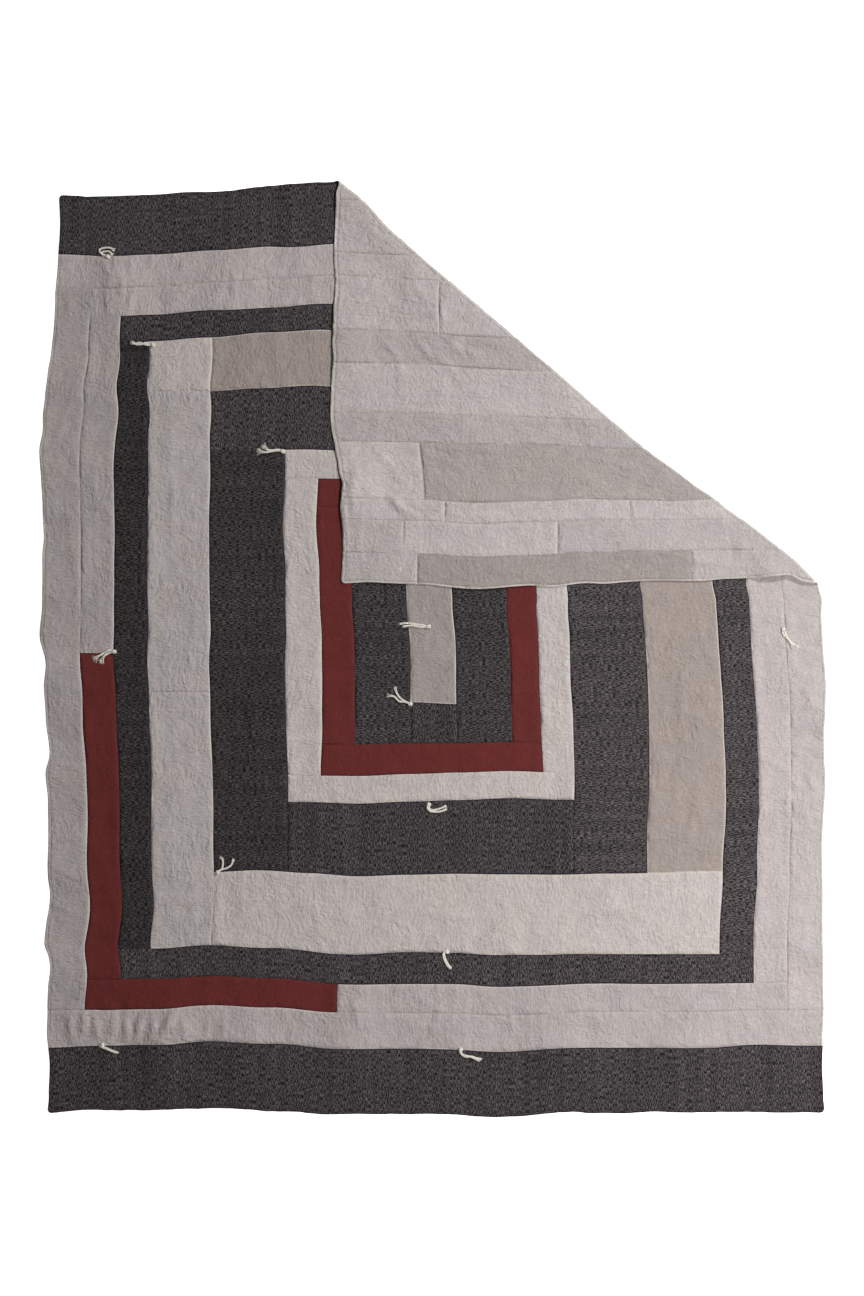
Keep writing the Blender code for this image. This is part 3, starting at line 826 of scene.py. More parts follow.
def pulled(x, y):
    """Flat points of the cloth, pulled out of square as it was sewn and laid."""
    x, y = rounded(x, y)
    middle = (EDGE_LEFT + EDGE_RIGHT) / 2
    half_width = (EDGE_RIGHT - EDGE_LEFT) / 2
    sideways = np.clip((x - middle) / half_width, -1.0, 1.0)
    edge_pull = np.where(sideways < 0.0, read_rows(SIDE_PULL, y, 1), read_rows(SIDE_PULL, y, 3))
    middle_pull = read_rows(SIDE_PULL, y, 2)
    pull_x = middle_pull + np.abs(sideways) * (edge_pull - middle_pull)
    head_share = ease((y - HEAD_PULL_FROM) / (HEAD_PULL_FULL - HEAD_PULL_FROM))
    foot_share = ease((y - FOOT_PULL_FROM) / (FOOT_PULL_FULL - FOOT_PULL_FROM))
    pull_y = head_share * read_rows(END_PULL, x, 1) + foot_share * read_rows(END_PULL, x, 2)
    drift = 0.001 * bpy.context.scene.quilt_sizes.seam_drift
    drift_x = read_lattice(SIDE_DRIFT, SIDE_DRIFT_AT, x, y)
    drift_x = drift_x + rim_share(x - EDGE_LEFT) * read_rows(LEFT_WAVES, y, 1)
    drift_x = drift_x + rim_share(EDGE_RIGHT - x) * read_rows(RIGHT_WAVES, y, 1)
    drift_y = read_lattice(END_DRIFT, END_DRIFT_AT, y, x)
    drift_y = drift_y + rim_share(EDGE_HEAD - y) * read_rows(HEAD_WAVES, x, 1)
    drift_y = drift_y + rim_share(y - EDGE_FOOT) * read_rows(FOOT_WAVES, x, 1)
    from_end = np.minimum(EDGE_HEAD - y, y - EDGE_FOOT)
    drift_y = drift_y + uneven("ragged", x, y) * rim_share(from_end)
    return x + pull_x + drift * drift_x, y + pull_y + drift * drift_y


def rim_share(distance):
    """How much of a rim's wave reaches points this far inside it."""
    return 1.0 - ease(distance / WAVE_FADE)


def read_lattice(rows, columns_at, place, cross_place):
    """Values of a drift table at the places down its rows and the cross places over its columns."""
    full_rows = []
    for row_place, first, shifts in sorted(rows):
        start = columns_at.index(first)
        after = len(columns_at) - start - len(shifts)
        full_rows.append((row_place, *[0] * start, *shifts, *[0] * after))
    ordered = np.array(full_rows, dtype=float)
    order = np.argsort(columns_at)
    row_at = ordered[:, 0]
    column_at = np.array(columns_at)[order]
    values = ordered[:, 1:][:, order]
    row = np.clip(np.searchsorted(row_at, place, side="right") - 1, 0, len(row_at) - 2)
    column = np.clip(np.searchsorted(column_at, cross_place, side="right") - 1, 0, len(column_at) - 2)
    down = np.clip((place - row_at[row]) / (row_at[row + 1] - row_at[row]), 0.0, 1.0)
    over = ease((cross_place - column_at[column]) / (column_at[column + 1] - column_at[column]))
    near = values[row, column] * (1 - over) + values[row, column + 1] * over
    far = values[row + 1, column] * (1 - over) + values[row + 1, column + 1] * over
    return near * (1 - down) + far * down


def bumps(rows, x, y, summed=False):
    """Height of soft ridges at laid points, the highest of them or their sum."""
    height = np.zeros_like(x)
    for centre_x, centre_y, heading, half_length, half_width, rise in rows:
        turn = math.radians(heading)
        along = (x - centre_x) * math.cos(turn) + (y - centre_y) * math.sin(turn)
        across = (y - centre_y) * math.cos(turn) - (x - centre_x) * math.sin(turn)
        inside = (np.abs(along) < half_length) & (np.abs(across) < half_width)
        crest = np.cos(np.pi / 2 * along / half_length) * np.cos(np.pi / 2 * across / half_width)
        ridge = np.where(inside, rise * crest * crest, 0.0)
        height = height + ridge if summed else np.maximum(height, ridge)
    return height


def bent_bumps(rows, x, y):
    """Creases whose lines wander a little."""
    return bumps(rows, *wandering("crease", x, y), summed=True)


def open_share(x, y):
    """1 on the open cloth, 0 under the folded corner."""
    beside = ease((OPEN_LEFT_OF - x) / OPEN_FADE)
    below = ease((OPEN_BELOW - y) / OPEN_FADE)
    return np.maximum(beside, below)


def along_and_beyond(x, y):
    """Place of pulled points along the fold and beyond it."""
    flat = np.stack((x, y), axis=-1) - FOLD_HEAD
    return flat @ FOLD_ALONG, flat @ FOLD_OUT


def middle_surface(x, y):
    """Laid places of pulled points on the surface midway between front and back."""
    sizes = bpy.context.scene.quilt_sizes
    along, beyond = along_and_beyond(x, y)
    inset = read_rows(FOLD_INSET, along / FOLD_LENGTH, 1) + ROLL_RADIUS + QUILT_THICKNESS / 2
    corner = FLAT_CORNER - FOLD_HEAD
    laid_corner = LAID_CORNER - FOLD_HEAD
    corner_inward = -laid_corner @ FOLD_OUT
    stretch = corner_inward / (corner @ FOLD_OUT - ROLL_LENGTH)
    slant = (laid_corner @ FOLD_ALONG - corner @ FOLD_ALONG) / corner_inward

    on_base = beyond <= 0.0
    on_flap = beyond > ROLL_LENGTH
    angle = np.clip(beyond / ROLL_RADIUS, 0.0, math.pi)
    inward = np.where(on_base, -beyond, stretch * np.maximum(beyond - ROLL_LENGTH, 0.0))
    faded = inset * (1.0 - ease(inward / FOLD_PULL))
    outward = ROLL_RADIUS * np.sin(angle) - inward - faded
    slid = along + np.where(on_flap, slant * inward, 0.0)
    place = FOLD_HEAD + slid[..., None] * FOLD_ALONG + outward[..., None] * FOLD_OUT
    laid_x, laid_y = place[..., 0], place[..., 1]

    lift = open_share(laid_x, laid_y) * bumps(OPEN_RIPPLES, laid_x, laid_y)
    lift = lift + sizes.crease_share * open_share(laid_x, laid_y) * bent_bumps(OPEN_CREASES, laid_x, laid_y)
    rolled = ROLL_RADIUS * (1.0 - np.cos(angle))
    settled = ease(inward / SETTLE_LENGTH)
    rest = QUILT_THICKNESS + FLAP_CLEARANCE + bumps(FLAP_RIPPLES, laid_x, laid_y)
    rest = rest + sizes.crease_share * bent_bumps(FLAP_CREASES, laid_x, laid_y)
    flap_height = 2 * ROLL_RADIUS + settled * (rest - 2 * ROLL_RADIUS)
    height = np.where(on_base, lift, np.where(on_flap, flap_height, rolled))
    return np.stack((laid_x, laid_y, QUILT_THICKNESS / 2 + height), axis=-1)


def laid(x, y, above):
    """Laid places of pulled points at given heights above the middle surface."""
    slope_x = middle_surface(x + SLOPE_STEP, y) - middle_surface(x - SLOPE_STEP, y)
    slope_y = middle_surface(x, y + SLOPE_STEP) - middle_surface(x, y - SLOPE_STEP)
    normal = np.cross(slope_x, slope_y)
    normal = normal / np.linalg.norm(normal, axis=-1, keepdims=True)
    return middle_surface(x, y) + above[..., None] * normal + frame_shift()


def frame_shift():
    """Step from this script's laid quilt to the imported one, read at the foot's left corner."""
    pull_x = read_rows(SIDE_PULL, EDGE_FOOT, 1)
    pull_y = read_rows(END_PULL, EDGE_LEFT, 2)
    corner = middle_surface(np.array([EDGE_LEFT + pull_x]), np.array([EDGE_FOOT + pull_y]))[0]
    solid = frame["nodes"]["pieced_front"]
    places = [solid.matrix_world @ vertex.co for vertex in solid.data.vertices]
    packed = min(places, key=lambda place: place.x + place.y)
    return np.array((packed.x - corner[0], packed.y - corner[1], 0.0))


def stations(low, high, low_rim, high_rim, pitch):
    """Grid stations from low to high, closer near the seams and the rim."""
    near = RIM_STATIONS if low == low_rim else SEAM_STATIONS
    far = RIM_STATIONS if high == high_rim else SEAM_STATIONS
    start = low + near[-1]
    stop = high - far[-1]
    steps = max(round((stop - start) / pitch), 1)
    middle = np.linspace(start, stop, steps + 1)
    return np.concatenate((low + np.array(near[:-1]), middle, high - np.array(far[:-1])[::-1]))


def flat_grid(strip, pitch):
    """Flat mesh of one strip, pulled out of square and cut where it rolls over the fold."""
    across = stations(strip["left"], strip["right"], EDGE_LEFT, EDGE_RIGHT, pitch)
    down = stations(strip["foot"], strip["head"], EDGE_FOOT, EDGE_HEAD, pitch)
    flat_x, flat_y = (grid.ravel() for grid in np.meshgrid(across, down))
    x, y = pulled(flat_x, flat_y)
    columns, rows = len(across), len(down)
    corner = (np.arange(rows - 1)[:, None] * columns + np.arange(columns - 1)).ravel()
    faces = np.column_stack((corner, corner + 1, corner + columns + 1, corner + columns))
    mesh = bpy.data.meshes.new(strip["name"])
    mesh.from_pydata(np.column_stack((x, y, np.zeros_like(x))), [], faces)
    flat = mesh.attributes.new("flat", "FLOAT_VECTOR", "POINT")
    flat.data.foreach_set("vector", np.column_stack((flat_x, flat_y, np.zeros_like(x))).ravel())
    if along_and_beyond(x, y)[1].max() > 0.0:
        cut_along_fold(mesh)
    return mesh


def cut_along_fold(mesh):
    """Cut a flat mesh along lines parallel to the fold, close together in the roll."""
    lines = [ROLL_LENGTH * step / ROLL_CUTS for step in range(ROLL_CUTS + 1)]
    lines += [CUT_BEFORE_FOLD] + [ROLL_LENGTH + FOLD_CREASE * share for share in CREASE_CUTS]
    work = bmesh.new()
    work.from_mesh(mesh)
    for line in lines:
        point = FOLD_HEAD + FOLD_OUT * line
        bmesh.ops.bisect_plane(
            work,
            geom=work.verts[:] + work.edges[:] + work.faces[:],
            dist=CUT_MERGE,
            plane_co=(point[0], point[1], 0.0),
            plane_no=(FOLD_OUT[0], FOLD_OUT[1], 0.0),
        )
    bmesh.ops.triangulate(work, faces=[face for face in work.faces if len(face.verts) > 4])
    work.to_mesh(mesh)
    work.free()


def cloth_at(strips, x, y):
    """Tone of the cloth of whichever strip holds each flat point, or -1 outside the quilt."""
    tone = np.full(x.shape, -1.0)
    for strip in strips:
        inside = (x > strip["left"]) & (x < strip["right"]) & (y > strip["foot"]) & (y < strip["head"])
        tone[inside] = strip["tone"]
    return tone


def edge_distances(strip, strips, x, y):
    """Distances of flat points from a strip's seams, its high-contrast seams and the rim."""
    seam = np.full(x.shape, NO_EDGE)
    contrast = np.full(x.shape, NO_EDGE)
    rim = np.full(x.shape, NO_EDGE)
    sides = (
        (x - strip["left"], strip["left"] == EDGE_LEFT, -1, 0),
        (strip["right"] - x, strip["right"] == EDGE_RIGHT, 1, 0),
        (strip["head"] - y, strip["head"] == EDGE_HEAD, 0, 1),
        (y - strip["foot"], strip["foot"] == EDGE_FOOT, 0, -1),
    )
    for distance, is_rim, step_x, step_y in sides:
        if is_rim:
            rim = np.minimum(rim, distance)
            continue
        seam = np.minimum(seam, distance)
        over = distance + CONTRAST_REACH
        beside = cloth_at(strips, x + step_x * over, y + step_y * over)
        differs = np.abs(beside - strip["tone"]) > MIN_CONTRAST
        contrast = np.minimum(contrast, np.where(differs, distance, NO_EDGE))
    return seam, contrast, rim


def crumple(x, y):
    """Height of the washed cloth's small sharp wrinkles, which gather in places."""
    bent_x, bent_y = wandering("wrinkle", x, y)
    long_folds = 1.0 - np.abs(uneven("long_fold", bent_x, bent_y))
    short_folds = 1.0 - np.abs(uneven("short_fold", bent_x, bent_y))
    folds = LONG_FOLD_SHARE * long_folds**3 + (1 - LONG_FOLD_SHARE) * short_folds**3
    gathered = ease(0.5 + uneven("gathered", x, y))
    return (LEAST_WRINKLED + (1 - LEAST_WRINKLED) * gathered) * folds


def is_tall(strip):
    """Whether a strip runs head to foot."""
    return strip["head"] - strip["foot"] > strip["right"] - strip["left"]


def from_ends(strip, x, y):
    """Distance from the nearer of a strip's two short ends."""
    if is_tall(strip):
        return np.minimum(strip["head"] - y, y - strip["foot"])
    return np.minimum(x - strip["left"], strip["right"] - x)


def gathers(strip, x, y):
    """Wrinkles across the seams, from -1 to 1: they turn at the strip's short ends."""
    along, across = (y, x) if is_tall(strip) else (x, y)
    at_ends = np.exp(-np.minimum(from_ends(strip, x, y), END_REACH) / END_GATHERS)
    on_sides = uneven("pucker", along, across) + uneven("fine_pucker", along, across)
    return on_sides * (1 - at_ends) + uneven("end_pucker", along, across) * at_ends


def relief(strip, x, y, seam, rim, share):
    """Height of the face above the middle surface: turned rim, hem, ditches and gathers."""
    sizes = bpy.context.scene.quilt_sizes
    half = QUILT_THICKNESS / 2
    edge = np.minimum(seam, rim)
    turned = np.sqrt(np.clip(1.0 - (1.0 - np.clip(rim / half, 0.0, 1.0)) ** 2, 0.0, 1.0))
    ditch = sizes.ditch_depth * np.exp(-seam / sizes.ditch_width)
    puff = sizes.puff_height * hump(seam, PUFF_AT, PUFF_SPREAD)
    hem = sizes.hem_rise * ease((rim - HEM_FROM) / HEM_RISE_OVER) * ease((HEM_TO - rim) / HEM_FALL_OVER)
    stitch_ditch = sizes.stitch_depth * hump(rim, sizes.stitch_inset, STITCH_SPREAD)
    pucker = sizes.pucker_height * np.exp(-edge / sizes.pucker_reach) * gathers(strip, x, y)
    rumple = sizes.rumple_height * (uneven("rumple", x, y) + uneven("fine_rumple", x, y))
    wrinkled = pucker + rumple + sizes.crumple_height * crumple(x, y)
    soft = ease(edge / FLAT_EDGE) * share * wrinkled
    above = half * turned - ditch + puff + (hem - stitch_ditch) + soft
    return np.maximum(above, LEAST_HEIGHT * half * turned)


def tie_dimples(x, y):
    """Dip of the front round each knot, with short wrinkles running out of it."""
    depth = np.zeros_like(x)
    for number, (_, knot, _, _) in enumerate(TIES):
        away_x, away_y = x - knot[0], y - knot[1]
        away = np.hypot(away_x, away_y)
        rays = np.sin(KNOT_RAYS * np.arctan2(away_y, away_x) + number)
        depth += KNOT_DIP * np.exp(-away / KNOT_DIP_REACH)
        depth += KNOT_RAY_HEIGHT * rays * hump(away, KNOT_RAY_AT, KNOT_RAY_SPREAD)
    return depth


def point_values(values, name):
    """First two parts of a vector that each point of a mesh holds."""
    flat = np.empty(len(values) * 3)
    values.foreach_get(name, flat)
    return flat.reshape(-1, 3)[:, :2].T


def new_item(name, data):
    """New object in the scene."""
    item = bpy.data.objects.new(name, data)
    bpy.context.scene.collection.objects.link(item)
    return item


def soft_share(side, x, y, beyond):
    """How much of the wrinkles shows: least where the cloth is turned down or covered."""
    on_flap, before_fold = 1.0, SOFT_COVERED
    if side > 0:
        on_flap = SOFT_TURNED_DOWN
        before_fold = SOFT_COVERED + (1 - SOFT_COVERED) * open_share(x, y)
    in_roll = np.where(beyond > 0.0, SOFT_IN_ROLL, before_fold)
    return np.where(beyond > ROLL_LENGTH, on_flap, in_roll)


def sunk_at_knots(above, x, y, beyond):
    """Height of the front's face with its dips round the knots."""
    sunk = above - np.where(beyond <= 0.0, tie_dimples(x, y), 0.0)
    return np.maximum(sunk, np.minimum(above, LEAST_HEIGHT * QUILT_THICKNESS))


def pressed_fold(above, rim, beyond):
    """Height of the back's face with the fold pressed in, and rim distances with the fold's painted
    highlight line.
    """
    above = np.where(beyond <= ROLL_LENGTH / 2, np.minimum(above, QUILT_THICKNESS / 2), above)
    pressed = np.abs(beyond - ROLL_LENGTH - FOLD_CREASE) / (FOLD_CREASE_SPREAD * FOLD_CREASE)
    above = above - FOLD_CREASE_DEPTH * (1.0 - ease(pressed))
    fold_highlight = PAINTED_RIM_FULL + np.abs(beyond - FOLD_HIGHLIGHT_SHARE * ROLL_LENGTH)
    return above, np.where(fold_highlight < PAINTED_RIM_GONE, np.minimum(rim, fold_highlight), rim)


def sewn_strip(strip, strips, side, pitch):
    """One strip of cloth on the front, side 1, or the back, side -1."""
    mesh = flat_grid(strip, pitch)
    x, y = point_values(mesh.vertices, "co")
    flat_x, flat_y = point_values(mesh.attributes["flat"].data, "vector")
    seam, contrast, rim = edge_distances(strip, strips, flat_x, flat_y)
    beyond = along_and_beyond(x, y)[1]
    above = relief(strip, flat_x, flat_y, seam, rim, soft_share(side, x, y, beyond))
    if side > 0:
        above = sunk_at_knots(above, x, y, beyond)
    else:
        above, rim = pressed_fold(above, rim, beyond)
    placed = laid(x, y, side * above)
    mesh.vertices.foreach_set("co", placed.ravel())
    if side < 0:
        mesh.flip_normals()
    write_maps(mesh, strip, flat_x, flat_y, contrast, rim)
    mesh.attributes.remove(mesh.attributes["flat"])
    mesh.shade_smooth()
    mesh.update()
    prefix = "front" if side > 0 else "back"
    item = new_item(f"{prefix}_{strip['name']}", mesh)
    mesh.materials.append(strip["material"])
    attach(item, BODY)
    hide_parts("pieced_front" if side > 0 else "pieced_back")
    return item


def write_maps(mesh, strip, flat_x, flat_y, contrast, rim):
    """Two maps in metres: along and across the strip, and distance from a bold seam and the rim."""
    corners = np.empty(len(mesh.loops), dtype=int)
    mesh.loops.foreach_get("vertex_index", corners)
    along, across = (flat_y, flat_x) if is_tall(strip) else (flat_x, flat_y)
    shift = PATTERN_OFFSET * strip["number"]
    for name, first, second in (("Cloth", along + shift, across), ("Edge", contrast, rim)):
        layer = mesh.uv_layers.new(name=name)
        values = np.column_stack((first[corners], second[corners]))
        layer.uv.foreach_set("vector", values.ravel())


def cut_strips(rows, lookup_x, lookup_y, materials, tones):
    """Strip records with their places in metres, tone and material."""
    strips = []
    for number, (name, cloth, left, right, head, foot) in enumerate(rows):
        strips.append(
            {
                "name": name,
                "number": number,
                "left": lookup_x(left),
                "right": lookup_x(right),
                "head": lookup_y(head),
                "foot": lookup_y(foot),
                "tone": tones[cloth],
                "material": materials[cloth],
            }
        )
    return strips


def scaled(colour, share):
    """A colour made lighter or darker."""
    return tuple(share * part for part in colour)


def solid(colour, share=1.0):
    """A colour as a socket takes it, made lighter or darker."""
    return (*scaled(colour, share), 1.0)


class NodeDesk:
    """Short helper that adds and wires shader nodes in one tree."""

    def __init__(self, tree):
        self.tree = tree

    def node(self, kind, **settings):
        made = self.tree.nodes.new(kind)
        for key, value in settings.items():
            setattr(made, key, value)
        return made

    def wire(self, source, target):
        self.tree.links.new(source, target)

    def feed(self, socket, value):
        if isinstance(value, bpy.types.NodeSocket):
            self.wire(value, socket)
        else:
            socket.default_value = value

    def maths(self, operation, first, second=None, third=None, clamp=False):
        made = self.node("ShaderNodeMath", operation=operation, use_clamp=clamp)
        for socket, value in zip(made.inputs, (first, second, third)):
            if value is not None:
                self.feed(socket, value)
        return made.outputs[0]

    def times(self, first, second):
        return self.maths("MULTIPLY", first, second)

    def plus(self, first, second):
        return self.maths("ADD", first, second)

    def parts(self, vector):
        made = self.node("ShaderNodeSeparateXYZ")
        self.wire(vector, made.inputs[0])
        return made.outputs["X"], made.outputs["Y"]

    def bump(self, height, strength, distance, shader):
        made = self.node("ShaderNodeBump")
        made.inputs["Strength"].default_value = strength
        made.inputs["Distance"].default_value = distance
        self.wire(height, made.inputs["Height"])
        self.wire(made.outputs[0], shader.inputs["Normal"])

    def noise(self, vector, scale, detail=2.0, roughness=0.5):
        made = self.node("ShaderNodeTexNoise")
        self.wire(vector, made.inputs["Vector"])
        made.inputs["Scale"].default_value = scale
        made.inputs["Detail"].default_value = detail
        made.inputs["Roughness"].default_value = roughness
        return made.outputs["Fac"]

    def spread(self, value, low, high, to_low=0.0, to_high=1.0):
        made = self.node("ShaderNodeMapRange", clamp=True)
        self.feed(made.inputs["Value"], value)
        made.inputs["From Min"].default_value = low
        made.inputs["From Max"].default_value = high
        made.inputs["To Min"].default_value = to_low
        made.inputs["To Max"].default_value = to_high
        return made.outputs["Result"]

    def stretched(self, vector, x_share, y_share):
        made = self.node("ShaderNodeVectorMath", operation="MULTIPLY")
        self.wire(vector, made.inputs[0])
        made.inputs[1].default_value = (x_share, y_share, 1.0)
        return made.outputs[0]

    def mixed(self, share, first, second, blend="MIX"):
        made = self.node("ShaderNodeMix", data_type="RGBA", blend_type=blend)
        self.feed(made.inputs["Factor"], share)
        self.feed(made.inputs["A"], first)
        self.feed(made.inputs["B"], second)
        return made.outputs["Result"]


def new_group(name, vectors, numbers, outputs):
    """Empty shader group with named vectors, numbers and outputs, and its desk."""
    group = bpy.data.node_groups.new(name, "ShaderNodeTree")
    for label in vectors:
        group.interface.new_socket(label, in_out="INPUT", socket_type="NodeSocketVector")
    for label, default in numbers.items():
        socket = group.interface.new_socket(label, in_out="INPUT", socket_type="NodeSocketFloat")
        socket.default_value = default
    for label in outputs:
        group.interface.new_socket(label, in_out="OUTPUT", socket_type="NodeSocketFloat")
    desk = NodeDesk(group)
    return desk, desk.node("NodeGroupInput").outputs, desk.node("NodeGroupOutput").inputs


def weave_group(name):
    """Plain weave: threads over and under each other, with uneven thickness."""
    numbers = {"Threads": 1300.0, "Slub": 0.4}
    desk, given, made = new_group(name, ["Cloth"], numbers, ["Height", "Thread"])
    along, across = desk.parts(given["Cloth"])
    turns = desk.times(given["Threads"], math.pi)
    warp = desk.maths("SINE", desk.times(along, turns))
    weft = desk.maths("SINE", desk.times(across, turns))
    over = desk.maths("GREATER_THAN", desk.times(warp, weft), 0.0)
    warp_top = desk.times(desk.maths("ABSOLUTE", warp), over)
    weft_top = desk.times(desk.maths("ABSOLUTE", weft), desk.maths("SUBTRACT", 1.0, over))
    crown = desk.plus(warp_top, weft_top)
    thick = desk.noise(desk.stretched(given["Cloth"], 40.0, 420.0), 1.0, 3.0)
    thin = desk.noise(desk.stretched(given["Cloth"], 420.0, 40.0), 1.0, 3.0)
    slubs = desk.times(desk.plus(thick, thin), given["Slub"])
    desk.wire(desk.plus(desk.times(crown, 0.6), slubs), made["Height"])
    desk.wire(desk.plus(thick, desk.times(thin, -1.0)), made["Thread"])


def streak_group(name):
    """Flecks of mixed yarn across the strip, fine grain, faint bars and broad soft clouds."""
    numbers = {"Length": 0.008, "Width": 0.0016}
    desk, given, made = new_group(name, ["Cloth"], numbers, ["Fleck", "Grain", "Bars", "Cloud", "Mottle"])
    cloth = given["Cloth"]
    along, across = desk.parts(cloth)
    joined = desk.node("ShaderNodeCombineXYZ")
    desk.wire(desk.maths("DIVIDE", along, given["Width"]), joined.inputs[0])
    desk.wire(desk.maths("DIVIDE", across, given["Length"]), joined.inputs[1])
    fine = desk.noise(joined.outputs[0], 1.0, 1.0, 0.5)
    shorter = desk.noise(desk.stretched(joined.outputs[0], 1.3, 2.1), 1.0, 0.0)
    both = desk.plus(desk.times(fine, 0.82), desk.times(shorter, 0.18))
    desk.wire(desk.spread(both, 0.43, 0.58), made["Fleck"])
    barred = desk.stretched(cloth, 75.0, 2.0)
    patterns = (
        ("Grain", cloth, 430.0, 1.0, 0.5, 0.34, 0.66),
        ("Bars", barred, 1.0, 3.0, 0.6, 0.32, 0.68),
        ("Cloud", cloth, 11.0, 4.0, 0.6, 0.36, 0.64),
        ("Mottle", cloth, 42.0, 3.0, 0.6, 0.34, 0.66),
    )
    for label, place, scale, detail, roughness, low, high in patterns:
        pattern = desk.noise(place, scale, detail, roughness)
        desk.wire(desk.spread(pattern, low, high), made[label])


def crinkle_group(name):
    """Height in metres of washed cloth: fine ribs that cross each other, and a dry grain."""
    desk, given, made = new_group(name, ["Cloth"], {"Ribs": 0.0003, "Grain": 0.0001}, ["Height"])
    cloth = given["Cloth"]
    drift = desk.node("ShaderNodeTexNoise")
    desk.wire(cloth, drift.inputs["Vector"])
    drift.inputs["Scale"].default_value = 26.0
    drift.inputs["Detail"].default_value = 1.0
    place = desk.node("ShaderNodeVectorMath", operation="MULTIPLY_ADD")
    desk.wire(drift.outputs["Color"], place.inputs[0])
    place.inputs[1].default_value = (0.022, 0.022, 0.0)
    desk.wire(cloth, place.inputs[2])
    bent = place.outputs[0]
    ribs = desk.noise(desk.stretched(bent, 165.0, 72.0), 1.0, 2.0, 0.5)
    cross_ribs = desk.noise(desk.stretched(bent, 58.0, 150.0), 1.0, 2.0, 0.5)
    share = desk.spread(desk.noise(cloth, 13.0, 1.0), 0.38, 0.62, 0.25, 1.1)
    ribbed = desk.times(desk.plus(desk.times(cross_ribs, share), ribs), given["Ribs"])
    grain = desk.noise(desk.stretched(cloth, 330.0, 260.0), 1.0, 2.0, 0.6)
    desk.wire(desk.maths("MULTIPLY_ADD", grain, given["Grain"], ribbed), made["Height"])


def edge_group(name):
    """Masks of a line beside a bold seam (painted highlight on the pale front, thread with painted shade on
    dark cloth), of dashes of thread along the rim, and of a painted line along the rim.
    """
    numbers = {"Line Width": 0.0027, "Stitch Inset": 0.0058, "Stitch Pitch": 0.0034}
    outputs = ["Seam Line", "Stitch", "Worn Rim"]
    desk, given, made = new_group(name, ["Edge", "Cloth"], numbers, outputs)
    from_seam, from_rim = desk.parts(given["Edge"])
    along, across = desk.parts(given["Cloth"])
    ragged = desk.noise(given["Cloth"], 190.0, 2.0)
    reach = desk.times(given["Line Width"], desk.plus(ragged, 0.5))
    line = desk.maths("SUBTRACT", 1.0, desk.maths("DIVIDE", from_seam, reach), clamp=True)
    desk.wire(desk.maths("POWER", line, 0.5), made["Seam Line"])
    off = desk.maths("ABSOLUTE", desk.maths("SUBTRACT", from_rim, given["Stitch Inset"]))
    band = desk.maths("LESS_THAN", off, STITCH_HALF_WIDTH)
    way = desk.times(desk.plus(along, across), 2 * math.pi)
    turns = desk.maths("DIVIDE", way, given["Stitch Pitch"])
    dash = desk.maths("GREATER_THAN", desk.maths("SINE", turns), DASH_FROM)
    desk.wire(desk.times(band, dash), made["Stitch"])
    desk.wire(desk.spread(from_rim, PAINTED_RIM_FULL, PAINTED_RIM_GONE, 1.0, 0.0), made["Worn Rim"])


def placed_group(desk, group, **inputs):
    """Outputs of a group placed in a material, with its inputs fed by name."""
    made = desk.node("ShaderNodeGroup", node_tree=group)
    for name, value in inputs.items():
        desk.feed(made.inputs[name], value)
    return made.outputs


def new_material(name, **numbers):
    """Material with its desk and its shader, whose plain numbers are given by socket name."""
    material = bpy.data.materials.new(name)
    material.use_nodes = True
    shader = material.node_tree.nodes["Principled BSDF"]
    for label, value in numbers.items():
        shader.inputs[label.replace("_", " ")].default_value = value
    return material, NodeDesk(material.node_tree), shader


